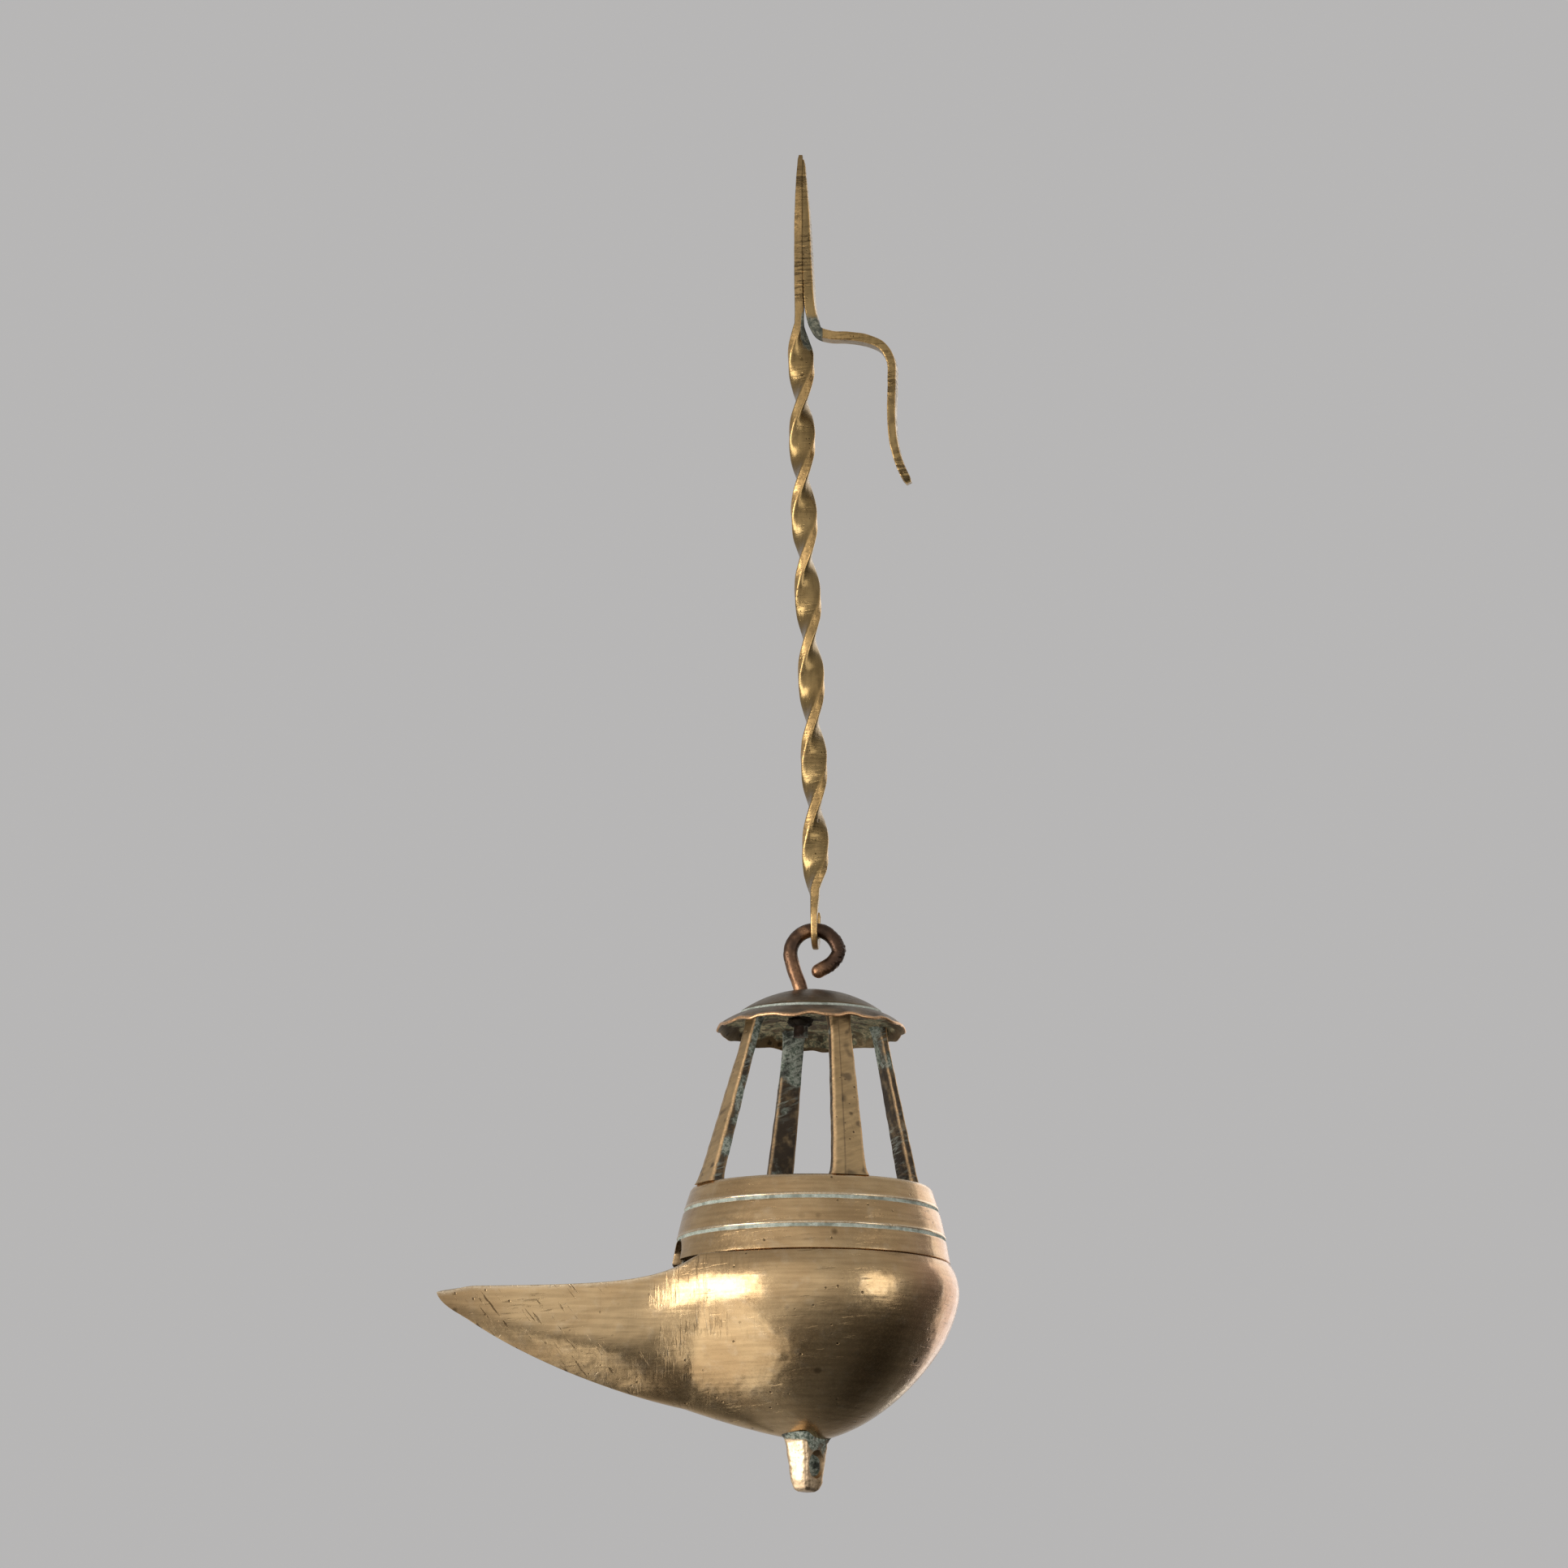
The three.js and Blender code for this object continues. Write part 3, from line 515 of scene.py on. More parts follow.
def twisted_strip():
    bottom = RING_Z + RING_RADIUS + EYE_PLAY
    eye = [(EYE_RADIUS, bottom + 6), (EYE_RADIUS, bottom + 3)]
    for turn in range(7):
        angle = math.pi * turn / 6
        eye.append((EYE_RADIUS * math.cos(angle), bottom - EYE_RADIUS * math.sin(angle)))
    eye += [(-EYE_RADIUS, bottom + 4), (-2.6, bottom + 9.2)]
    points = [(EYE_X + EYE_LEAN * (y + EYE_RADIUS), y, z) for y, z in eye]
    line = [(-10.7, -176), (-10.6, -160), (-11.0, -141), (-12.2, -104), (-13.6, -72), (-14.8, -38),
            (-14.9, -12), (-15.7, 3), (-15.6, 16), (-15.7, 36), (-15.6, 54), (-15.2, 62.6)]
    points += [(x, 0, z) for x, z in line]
    # Sizes by height.
    widths = [(-194, EYE_DEPTH), (-184, 6.4), (-176, SHANK_WIDTH), (-4, SHANK_WIDTH), (6, 7), (36, 6),
              (63, 2)]
    thick = [(-192, EYE_BAND), (-176, SHANK_THICKNESS), (-4, SHANK_THICKNESS), (8, 3), (40, 2.8),
             (63, 1.6)]
    steps = 900
    path, tangents = path_through(points, steps)
    rings, masks = [], Masks("wear", "crust", "file", "grime")
    for i, (centre, tangent) in enumerate(zip(path, tangents)):
        z = centre[2]
        side = np.cross(tangent, (1.0, 0.0, 0.0))
        side /= np.linalg.norm(side)
        twist = shank_twist(z) - SPIKE_YAW * smooth_step(FIRST_WAIST_Z, 20, z)
        wide = side * math.cos(twist) + np.array((-math.sin(twist), 0, 0))
        ends = min(1.0, 0.72 + 0.28 * smooth_step(0, 5, min(i, steps - 1 - i)))
        squareness = 4.6 + 4.0 * smooth_step(0, 10, z)
        ring = strip_ring(centre, tangent, wide, between(widths, z) * ends, between(thick, z) * ends,
                          squareness)
        dents = 0.16 if -186 < z < 0 else 0.1 if z >= 0 else 0.02
        for k, p in enumerate(ring):
            ring[k] = dented(centre, p, dents, 0.22, 3.0)
            # Painted shade: the crotch where the arm leaves the shank is darkened on top of its crust.
            crotch = bell(z, 3.0, 7.5) * smooth_step(-0.8, 1.4, p[0] - centre[0])
            masks.add(
                wear=narrow_edge(k) * (0.95 if z < 2 else 0.5) * (0.6 + 0.6 * rough(p, 0.09, 8.0)),
                crust=crotch * 0.95,
                file=max(smooth_step(4, 10, z), 0.25),
                grime=(0.3 * max(0.0, rough(p, 0.12, 5.0)) + 0.5 * smooth_step(8, 20, z)
                       + 0.6 * crotch + 0.5 * smooth_step(-190, -199, z)),
            )
        rings.append(ring)
    verts, faces = skin(rings)
    masks.cap(0.2, 0.2)
    make_piece("hanger_twisted_strip", verts, faces, hanger_brass, "hanger", ["hanger_strip"],
               masks)


def side_hook_strip():
    line = [(-14.6, 61), (-13.6, 42), (-12.7, 22), (-11.7, 9.5), (-9.6, 3.2), (-5.5, 1.6), (0, 1.3),
            (6.5, 0.3), (11.6, -2.2), (14.4, -7), (14.7, -14), (14.5, -25), (15.2, -34), (17.4, -42),
            (20, -47.4)]
    # Sizes by the share of the way along from the spike's tip.
    widths = [(0, 2), (0.2, 6), (0.4, 7), (0.75, 6.6), (1, 4.6)]
    thick = [(0, 1.5), (0.15, 3), (0.42, 3.5), (0.5, 2.9), (1, 2.7)]
    steps, squareness = 420, 8.5
    path, tangents = path_through([(x, 0, z) for x, z in line], steps)
    rings, masks = [], Masks("wear", "crust", "file", "grime")
    for i, (centre, tangent) in enumerate(zip(path, tangents)):
        share = i / (steps - 1)
        wide = np.array((SPIKE_YAW * abs(tangent[2]), 1.0, 0.0))
        ends = min(1.0, 0.7 + 0.3 * smooth_step(0, 6, min(i, steps - 1 - i)))
        ring = strip_ring(centre, tangent, wide, between(widths, share) * ends,
                          between(thick, share) * ends, squareness)
        for k, p in enumerate(ring):
            ring[k] = dented(centre, p, 0.12, 0.3, 11.0)
            s, c = (abs(f(2 * math.pi * k / STRIP_SIDES)) for f in (math.sin, math.cos))
            edge = smooth_step(0.55, 0.9, s) * narrow_edge(k)
            corner = smooth_step(0.25, 0.5, min(s, c))
            blotch = smooth_step(0.2, 0.7, rough(p, 0.5, 6.0) + 0.5)
            masks.add(
                wear=max(edge, corner) * 0.75 + 0.25 * bell(share, 0.5, 0.05),
                crust=0.9 * bell(p[2], 3.0, 6.0) * smooth_step(-6.5, -9.5, p[0]),
                file=0.35 + 0.65 * smooth_step(0.6, 0.68, share) + 0.4 * smooth_step(0.4, 0.3, share),
                grime=(0.35 * max(0.0, rough(p, 0.15, 2.0)) + 0.45 * smooth_step(-8, -22, p[2]) * blotch
                       + 0.3 * smooth_step(10, 20, p[2])),
            )
        rings.append(ring)
    verts, faces = skin(rings)
    masks.cap(0.3, 0.3)
    make_piece("hanger_side_hook", verts, faces, hanger_brass, "hanger", ["hanger_strip"],
               masks)


# ---- rod hook

def rod_hook():
    line = [(STEM_X, STEM_END_Z + 0.8), (STEM_X, -222), (STEM_X, -214), (-17.4, -207.8)]
    for turn in range(9):
        angle = math.pi * (1 - 0.98 * turn / 8)
        line.append((RING_X + RING_RADIUS * math.cos(angle), RING_Z + RING_RADIUS * math.sin(angle)))
    line += [(-5.2, -205.2), (-9.6, -208.0)]
    steps, end_steps, sides = 420, 10, 40
    path, tangents = path_through([(x, 0, z) for x, z in line], steps)
    rings, masks = [], Masks("wear", "crust", "grime")
    middle = np.array((RING_X, 0.0, RING_Z))
    across = np.array((0.0, 1.0, 0.0))
    for i in range(steps + end_steps):
        j = min(i, steps - 1)
        round_off = max(0, i - steps + 1) / end_steps * math.pi / 2
        centre = path[j] + tangents[j] * ROD_RADIUS * math.sin(round_off)
        size = ROD_RADIUS * max(math.cos(round_off), 0.12)
        through = np.cross(tangents[j], across)
        share = j / (steps - 1)
        ring = []
        for k in range(sides):
            angle = 2 * math.pi * k / sides
            out = across * math.cos(angle) + through * math.sin(angle)
            p = centre + out * size
            outward = out @ (p - middle) / RING_RADIUS
            # The inside of the ring stays smooth and a little thin, clear of the hanger's eye.
            inward = smooth_step(0.2, 0.8, -outward)
            knobbly = bell(share, 0.86, 0.09) * smooth_step(0, 0.8, outward)
            swell = (0.1 * rough(p, 0.3, 4.0) + 0.08 * rough(p, 0.8, 9.0)
                     + 0.38 * knobbly * rough(p, 1.1, 1.0))
            ring.append(p + out * (swell * (1 - inward) - 0.12 * inward))
            # The rubbed share also paints highlights: bands along both sides of the rod, turned a little
            # toward the camera, are brightened.
            masks.add(
                wear=(0.55 * smooth_step(0.25, 0.75, rough(p, 0.25, 7.0) + 0.35 - 0.5 * abs(out[1] + 0.3))
                      + 0.5 * bell(share, 1.0, 0.03) + 0.3 * bell(share, 0.35, 0.08)),
                crust=(0.62 * inward * smooth_step(0.3, 0.45, share) * smooth_step(0.93, 0.8, share)
                       + 0.25 * knobbly + 0.5 * smooth_step(-222, -225, p[2])),
                grime=(0.45 * smooth_step(0.0, 0.6, rough(p, 0.2, 12.0)) + 0.5 * knobbly
                       + 0.7 * smooth_step(-220, -224, p[2])),
            )
        rings.append(ring)
    verts, faces = skin(rings)
    masks.cap(0.5, 0.2)
    make_piece("rod_hook", verts, faces, hook_copper, "hook", ["suspension_hook"], masks)


def burred_washer():
    """Lumpy collar of hammered metal that holds the stem under the canopy."""
    bottom = UNDERSIDE_Z - WASHER_DEPTH
    profile = [(WASHER_BORE, UNDERSIDE_Z - 0.2), (WASHER_RADIUS - 0.3, UNDERSIDE_Z - 0.35),
               (WASHER_RADIUS, UNDERSIDE_Z - 1.2), (WASHER_RADIUS - 0.3, bottom + 0.6),
               (WASHER_RADIUS - 1.0, bottom), (WASHER_BORE, bottom)]
    fine = []
    for start, end in zip(profile, profile[1:] + profile[:1]):
        fine += [(blend((start[0], end[0]), t), blend((start[1], end[1]), t))
                 for t in np.linspace(0, 1, 7, endpoint=False)]
    rings, segments = [], 72
    for j in range(segments):
        angle = 2 * math.pi * j / segments
        ring = []
        for r, z in fine:
            p = (STEM_X + r * math.cos(angle), r * math.sin(angle), z)
            outer = smooth_step(WASHER_BORE, WASHER_BORE + 0.8, r)
            lower = smooth_step(UNDERSIDE_Z - 0.3, UNDERSIDE_Z - 1, z)
            wide = r * (1 + (0.34 * rough(p, 0.5, 5.0) + 0.14 * rough(p, 1.4, 2.0)) * outer)
            ring.append((STEM_X + wide * math.cos(angle), wide * math.sin(angle),
                         z + 0.25 * rough(p, 0.7, 14.0) * lower))
        rings.append(ring)
    verts, faces = skin(rings, wrap=True)
    masks = Masks("wear", "crust", "grime")
    for v in verts:
        masks.add(wear=0.05, crust=0.15 + 0.3 * rough(v, 0.5, 2.0), grime=1.0)
    make_piece("stem_burr", verts, faces, burr_black, "hook", ["stem_washer"], masks)


# ---- canopy

def dome_z(radius):
    return APEX_Z - DOME_RADIUS + math.sqrt(DOME_RADIUS ** 2 - radius ** 2)


def canopy_mesh(profile, masks_at, bumps_at):
    """A skin through the profile turned round the axis, waved and drooped at the brim, and roughened."""
    segments = 300
    rings, masks = [], Masks("wear", "crust", "grime")
    for j in range(segments):
        angle = 2 * math.pi * j / segments
        c, s = math.cos(angle), math.sin(angle)
        ragged = rough((c * 12, s * 12, 0), 0.5, 3.0)
        waves = SCALLOP_DEPTH * 0.7 * math.cos(SCALLOPS * angle + 1.3 * ragged) + 0.25 * ragged
        droop = BRIM_DROOP * (0.5 + 0.5 * math.cos(angle - DROOP_SIDE)) ** 2
        ring = []
        for r, z in profile:
            reach = smooth_step(CAP_GROOVE + 3, CAP_RIM, r)
            wide = r * (1 - reach * waves / 2 / CAP_RIM)
            p = np.array((wide * c, wide * s, z + reach * waves - reach * droop))
            p[2] += bumps_at(p, r)
            ring.append(lamp_to_row(p))
            masks.add(**masks_at(p, r, reach))
        rings.append(ring)
    return *skin(rings, wrap=True, open_rings=True), masks


def canopy_profiles():
    """Radius and height along the top, round the lip, and back to the middle below."""
    groove_z, groove_depth = dome_z(CAP_GROOVE), 1.0
    top = [(r, dome_z(r)) for r in np.linspace(0, CAP_GROOVE - 0.5, 40)]
    top += [(CAP_GROOVE + across, groove_z + up)
            for across, up in ((-0.3, 0.1), (-0.05, -0.2), (0.05, -0.6), (0.15, -groove_depth),
                               (0.6, -groove_depth - 0.1), (1.0, -groove_depth))]
    start, end = (CAP_GROOVE + 1.0, groove_z - groove_depth), (CAP_RIM - 0.5, CAP_RIM_Z + 0.1)
    for t in np.linspace(0.08, 1, 24):
        swell = 0.2 * math.sin(math.pi * t)
        top.append((blend((start[0], end[0]), t), blend((start[1], end[1]), t) + swell))
    lip_radius, lip = 0.42, []
    for t in np.linspace(0, 1, 9):
        angle = math.radians(80 - 175 * t)
        lip.append((CAP_RIM - lip_radius + lip_radius * math.cos(angle),
                    CAP_RIM_Z - lip_radius + 0.5 * math.sin(angle)))
    under = [(CAP_RIM - inset, CAP_RIM_Z + up)
             for inset, up in ((0.8, -0.7), (1.4, -0.1), (2.4, 0.7), (3.8, 1.1), (5.4, 1.3))]
    edge_radius, edge_z = under[-1]
    for t in np.linspace(0.06, 1, 30):
        under.append((edge_radius * (1 - t), blend((edge_z, UNDERSIDE_Z), smooth_step(0, 0.7, t))))
    return top, lip, under


def canopy():
    """Dome, groove and thin wavy brim above; below, the hollow behind the lip with painted shade and the
    crusted middle.
    """
    top, lip, under = canopy_profiles()

    def above(p, r, reach):
        edge = smooth_step(CAP_RIM - 1.0, CAP_RIM - 0.4, r)
        rubbed = reach * smooth_step(-0.1, 0.5, rough(p, 0.2, 7.0))
        sooty = reach * smooth_step(-0.3, 0.5, rough(p, 0.15, 1.0))
        # The lip's outer edge is rubbed and also carries a painted highlight, bright all round.
        return dict(wear=max(0.9 * edge, 0.4 * rubbed),
                    crust=smooth_step(0.4, 0.15, abs(r - CAP_GROOVE - 0.1)),
                    grime=0.5 * sooty * (1 - edge))

    def below(p, r, reach):
        facing = 0.5 - 0.5 * math.cos(math.atan2(p[1], p[0]) - DROOP_SIDE)
        inner = smooth_step(CAP_RIM - 0.4, CAP_RIM - 1.5 - 6.5 * facing, r)
        # Painted shade: the hollow just inside the lip is darkened, most on the side away from the droop,
        # which faces the camera.
        lip_shade = smooth_step(CAP_RIM - 0.5, CAP_RIM - 1.8, r) * smooth_step(21, 26, r)
        patch = 0.64 + 0.45 * rough(p, 0.13, 9.0) + 0.4 * rough(p, 0.4, 3.0)
        stain = bell(math.hypot(p[0] - STEM_OFFSET, p[1]), 4, 5)
        blotch = 0.5 * smooth_step(0.1, 0.5, rough(p, 0.18, 4.0))
        return dict(wear=0.0, crust=patch * inner,
                    grime=max(lip_shade * (0.15 + 0.85 * facing), stain, blotch))

    def hammered_bumps(p, r):
        return 0.05 * rough(p, 0.2, 2.0)

    def cast_bumps(p, r):
        return smooth_step(CAP_RIM, CAP_RIM - 5, r) * (0.35 * rough(p, 0.32, 5.0) + 0.2 * rough(p, 0.9, 7.0))

    for name, material, profile, masks_at, bumps_at in (
        ("canopy_dome", canopy_brass, top + lip, above, hammered_bumps),
        ("canopy_hollow", canopy_underside, [lip[-1]] + under, below, cast_bumps),
    ):
        verts, faces, masks = canopy_mesh(profile, masks_at, bumps_at)
        make_piece(name, verts, faces, material, "lamp", ["canopy_cap"], masks)


# ---- struts

RIDGE_AT, RIDGE_HEIGHT, ARRIS = -0.16, 0.5, 0.34


def strut_outline():
    """Round the section, as shares of its depth (outwards) and of its width."""
    corners = [(0.5, -0.5), (0.5, 0.5), (-0.5, 0.5), (-0.5, -0.5)]
    outline = []
    for i, (start, end) in enumerate(zip(corners, corners[1:] + corners[:1])):
        points = 8 if i % 2 else 26
        outline += [(blend((start[0], end[0]), t), blend((start[1], end[1]), t))
                    for t in np.linspace(0, 1, points, endpoint=False)]
    return outline


def strut(name, turn, radius, width, depth, aged):
    """A leaning bar with a low ridge down each broad face, flared at both ends."""
    paleness, crusting, copper = aged
    foot_z, top_z = COLLAR_TOP_Z + 0.05, UNDERSIDE_Z - 1.2
    steps, outline = 150, strut_outline()
    rings, masks = [], Masks("wear", "crust", "grime", "hatch", "copper")
    for i in range(steps + 1):
        up = i / steps
        angle = math.radians(blend(turn, up)) - math.pi - SPOUT_TURN
        wide = blend(width, up) + 2.0 * math.exp(-up * 26) + 1.6 * math.exp((up - 1) * 18)
        deep = blend(depth, up) + 0.9 * math.exp(-up * 40) + 1.2 * math.exp((up - 1) * 22)
        out = np.array((math.cos(angle), math.sin(angle), 0.0))
        side = np.array((-math.sin(angle), math.cos(angle), 0.0))
        centre = out * blend(radius, up) + np.array((0, 0, blend((foot_z, top_z), up)))
        pale_top = paleness * smooth_step(0.62, 0.8, up)
        ring = []
        for r, t in outline:
            corner = smooth_step(0.12, 0.0, 0.5 - abs(t)) * smooth_step(0.3, 0.0, 0.5 - abs(r))
            slope = 0.5 + RIDGE_AT if t < RIDGE_AT else 0.5 - RIDGE_AT
            ridge = RIDGE_HEIGHT * max(0.0, 1 - abs(t - RIDGE_AT) / slope) if abs(r) > 0.45 else 0
            p = centre + out * math.copysign(abs(r) * deep + ridge - ARRIS * corner, r)
            p = p + side * t * wide * (1 - 0.03 * corner)
            p = p + out * (0.14 * rough(p, 0.3, 2.0)) + side * (0.14 * rough(p, 0.22, 6.0))
            ring.append(lamp_to_row(p))
            outer = smooth_step(0.3, 0.48, r)
            inner = 1 - outer
            stains = (0.16 + 0.5 * bell(t, RIDGE_AT, 0.02)
                      + 0.5 * smooth_step(0.35, 0.6, rough(p, 0.25, 4.0)))
            masks.add(
                wear=corner * (0.75 * outer + 0.35 + 0.4 * copper),
                crust=(inner * (crusting + 0.55 * pale_top + 0.35 * rough(p, 0.14, 8.0))
                       + 0.45 * outer * smooth_step(0.93, 1.0, up)),
                hatch=inner * (0.35 + 0.65 * paleness),
                copper=inner * copper,
                grime=inner * 0.95 + outer * stains,
            )
        rings.append(ring)
    verts, faces = skin(rings)
    masks.cap(0.4, 0.4)
    make_piece("cage_bar_" + name, verts, faces, strut_brass, "lamp", ["strut_" + name],
               masks, sharp=38)


# ---- collar

def collar_radius(z):
    up = min(max((z - COLLAR_FOOT_Z) / (COLLAR_TOP_Z - COLLAR_FOOT_Z), 0), 1)
    return COLLAR_FOOT - (COLLAR_FOOT - COLLAR_TOP) * up ** 1.5


def notch_top(offset):
    """Height of the notch's arch above the collar's foot at a distance across it."""
    half = NOTCH_WIDTH / 2
    if abs(offset) >= half:
        return 0.0
    return NOTCH_HEIGHT - half + math.sqrt(half ** 2 - offset ** 2)


GROOVE_DEPTH, GROOVE_WIDTH = 0.62, 0.42
BEAD_HEIGHT, BEAD_ABOVE, BEAD_WIDTH = 0.14, 0.95, 0.35


def collar_profile():
    """Radius and height up the outside, over the crown and down the bore, with the outside's length."""
    outside = [(COLLAR_FOOT - 0.3, COLLAR_FOOT_Z - 0.2), (COLLAR_FOOT + 0.22, COLLAR_FOOT_Z - 0.12)]
    for z in np.linspace(COLLAR_FOOT_Z + 0.35, COLLAR_TOP_Z - 0.9, 118):
        cut = sum(GROOVE_DEPTH * bell(z, g, GROOVE_WIDTH) for g in COLLAR_GROOVES)
        bead = sum(BEAD_HEIGHT * bell(z, g + BEAD_ABOVE, BEAD_WIDTH) for g in COLLAR_GROOVES)
        outside.append((collar_radius(z) + 0.3 * bell(z, COLLAR_FOOT_Z, 2.5) - cut + bead, z))
    crown = [(COLLAR_TOP - 0.02, COLLAR_TOP_Z - 0.55), (COLLAR_TOP - 0.25, COLLAR_TOP_Z - 0.15),
             (COLLAR_TOP - 0.7, COLLAR_TOP_Z), (COLLAR_TOP_BORE + 0.5, COLLAR_TOP_Z),
             (COLLAR_TOP_BORE + 0.1, COLLAR_TOP_Z - 0.2)]
    bores = [(0, COLLAR_TOP_BORE), (0.33, COLLAR_TOP_BORE + 3.4), (1, COLLAR_FOOT_BORE)]
    inside = [(between(bores, t), COLLAR_TOP_Z - 0.3 + (COLLAR_FOOT_Z - COLLAR_TOP_Z + 0.3) * t)
              for t in np.linspace(0.02, 1, 36)]
    return outside + crown + inside, len(outside)


def neck_collar():
    """Bellied ring with two beaded grooves, lifted over the spout into a notch."""
    profile, n_out = collar_profile()
    count, segments, notch_radius = len(profile), 420, 44
    angles = [2 * math.pi * j / segments for j in range(segments)]
    dense = [math.asin(x / notch_radius) for x in np.linspace(-NOTCH_WIDTH / 2, NOTCH_WIDTH / 2, 41)]
    limit = dense[-1] + 0.01
    angles = sorted(dense + [a for a in angles if min(a, 2 * math.pi - a) > limit])
    verts, masks = [], Masks("wear", "crust", "grime")
    for angle in angles:
        over_spout = math.cos(angle) > 0
        low = COLLAR_FOOT_Z + (notch_top(notch_radius * math.sin(angle)) if over_spout else 0.0)
        for i, (r, z) in enumerate(profile):
            if z < low:
                r = collar_radius(low) - 0.2 if i < n_out else r
                z = low
            p = np.array((r * math.cos(angle), r * math.sin(angle), z))
            p[:2] *= 1 + 0.0022 * rough(p, 0.09, 3.0)
            verts.append(lamp_to_row(p))
            outside, within = i < n_out, i >= n_out + 3
            groove = max(bell(z, g, 0.5) for g in COLLAR_GROOVES) * outside
            bead = max(bell(z, g + BEAD_ABOVE, BEAD_WIDTH) for g in COLLAR_GROOVES) * outside
            seam = bell(z, COLLAR_FOOT_Z, 0.35) * outside
            masks.add(
                crust=max(min(groove * 1.8, 1.0), 0.45 * within),
                wear=0.6 * bead + 0.35 * bell(z, COLLAR_TOP_Z - 0.3, 0.5) * (not within),
                grime=max(0.75 * within, 0.1 * seam, 0.2 * groove),
            )
    faces = []
    for j in range(len(angles)):
        a, b = j * count, ((j + 1) % len(angles)) * count
        for i in range(count):
            k = (i + 1) % count
            faces.append((a + i, b + i, b + k, a + k))
    make_piece("collar_band", verts, faces, bowl_brass, "lamp", ["neck_collar"], masks)


# ---- bowl
# A level runs from 0 at the floor of the bowl to 1 at its rim. A side is OUTSIDE or INSIDE.

def bowl_radius(level, side):
    z = side["floor"] + level * (BOWL_RIM_Z - side["floor"])
    if z > BULGE_Z:
        return side["bulge"] - RIM_TUCK * ((z - BULGE_Z) / (BOWL_RIM_Z - BULGE_Z)) ** 2.2
    down = (BULGE_Z - z) / (BULGE_Z - side["floor"])
    return side["bulge"] * max(1 - down ** ROUNDNESS, 0) ** (1 / ROUNDNESS)


def keel_reach(level, side):
    """How far from the axis the keel is at a level."""
    return side["reach"] * (1 - (1 - level) ** KEEL_LEVEL_POWER) ** KEEL_REACH_POWER


def keel_level(distance, side):
    """The level of the keel at a distance from the axis."""
    share = min(distance / side["reach"], 1) ** (1 / KEEL_REACH_POWER)
    return 1 - (1 - share) ** (1 / KEEL_LEVEL_POWER)


CREASE_TIGHTNESS, CREASE_SHARE = 14, 0.75
LOWER_FLANK, UPPER_FLANK, UPPER_FLANK_SLOPE = 2.05, 0.62, 0.38


def spout_half_width(distance, level, side):
    """Round near the bowl; further out, a lower and an upper flank that meet in a soft crease."""
    keel = keel_level(distance, side)
    top = side["mouth"] * max(1 - distance / side["reach"], 0) ** 1.116
    up = max((level - keel) / (1 - keel + 1e-9), 0)
    lower = math.exp(-CREASE_TIGHTNESS * LOWER_FLANK * up)
    upper = math.exp(-CREASE_TIGHTNESS * (UPPER_FLANK + UPPER_FLANK_SLOPE * up))
    at_keel = math.log(1 + math.exp(-CREASE_TIGHTNESS * UPPER_FLANK)) * (1 - up)
    creased = (at_keel - math.log(lower + upper)) / CREASE_TIGHTNESS
    share = CREASE_SHARE * smooth_step(45, 70, distance)
    return top * (math.sqrt(up) * (1 - share) + max(creased, 0) * share)


def half_width(distance, level, side):
    """Half the width across the vessel at a distance along the spout's line from the axis."""
    radius = bowl_radius(level, side)
    leave = radius * math.cos(ROUND_END)
    if distance <= leave:
        return math.sqrt(max(radius ** 2 - distance ** 2, 0))
    rest = keel_reach(level, side) - radius
    meet = radius + rest * (FLANK_SHARE - FLANK_LOST_AT_RIM * level ** 2)
    if distance >= meet:
        return spout_half_width(distance, level, side)
    start, end = radius * math.sin(ROUND_END), spout_half_width(meet, level, side)
    step, run = rest / 20, meet - leave
    start_slope = -1 / math.tan(ROUND_END)
    end_slope = (end - spout_half_width(meet - step, level, side)) / step
    share = (distance - leave) / run
    back = 1 - share
    heights = start * back ** 2 * (1 + 2 * share) + end * share ** 2 * (3 - 2 * share)
    return heights + run * share * back * (start_slope * back - end_slope * share)


def rim_dip(distance):
    """How far the rim has dropped at a distance along the spout."""
    dip = 9.4 * (1 - math.exp(-max(distance - 41.5, 0) / 12))
    return dip + 1.9 * smooth_step(110, SPOUT_TIP, distance)


def vessel_ring(level, side):
    radius = bowl_radius(level, side)
    tip = keel_reach(level, side)
    steps = 90
    half = [radius * math.cos(math.pi + (ROUND_END - math.pi) * i / steps) for i in range(steps + 1)]
    start = half[-1]
    half += [tip - (tip - start) * (1 - i / steps) ** 1.7 for i in range(1, steps + 1)]

    def point(x, sign):
        height = level * (BOWL_RIM_Z - side["floor"] - rim_dip(x))
        return np.array((x, sign * half_width(x, level, side), side["floor"] + height))

    near = [point(x, -1) for x in half]
    far = [point(x, 1) for x in half[1:-1]]
    return near + far[::-1]


def levels(count):
    """Levels from floor to rim, closer together at the floor."""
    return [((i + 0.25) / (count - 0.75)) ** 1.6 for i in range(count)]


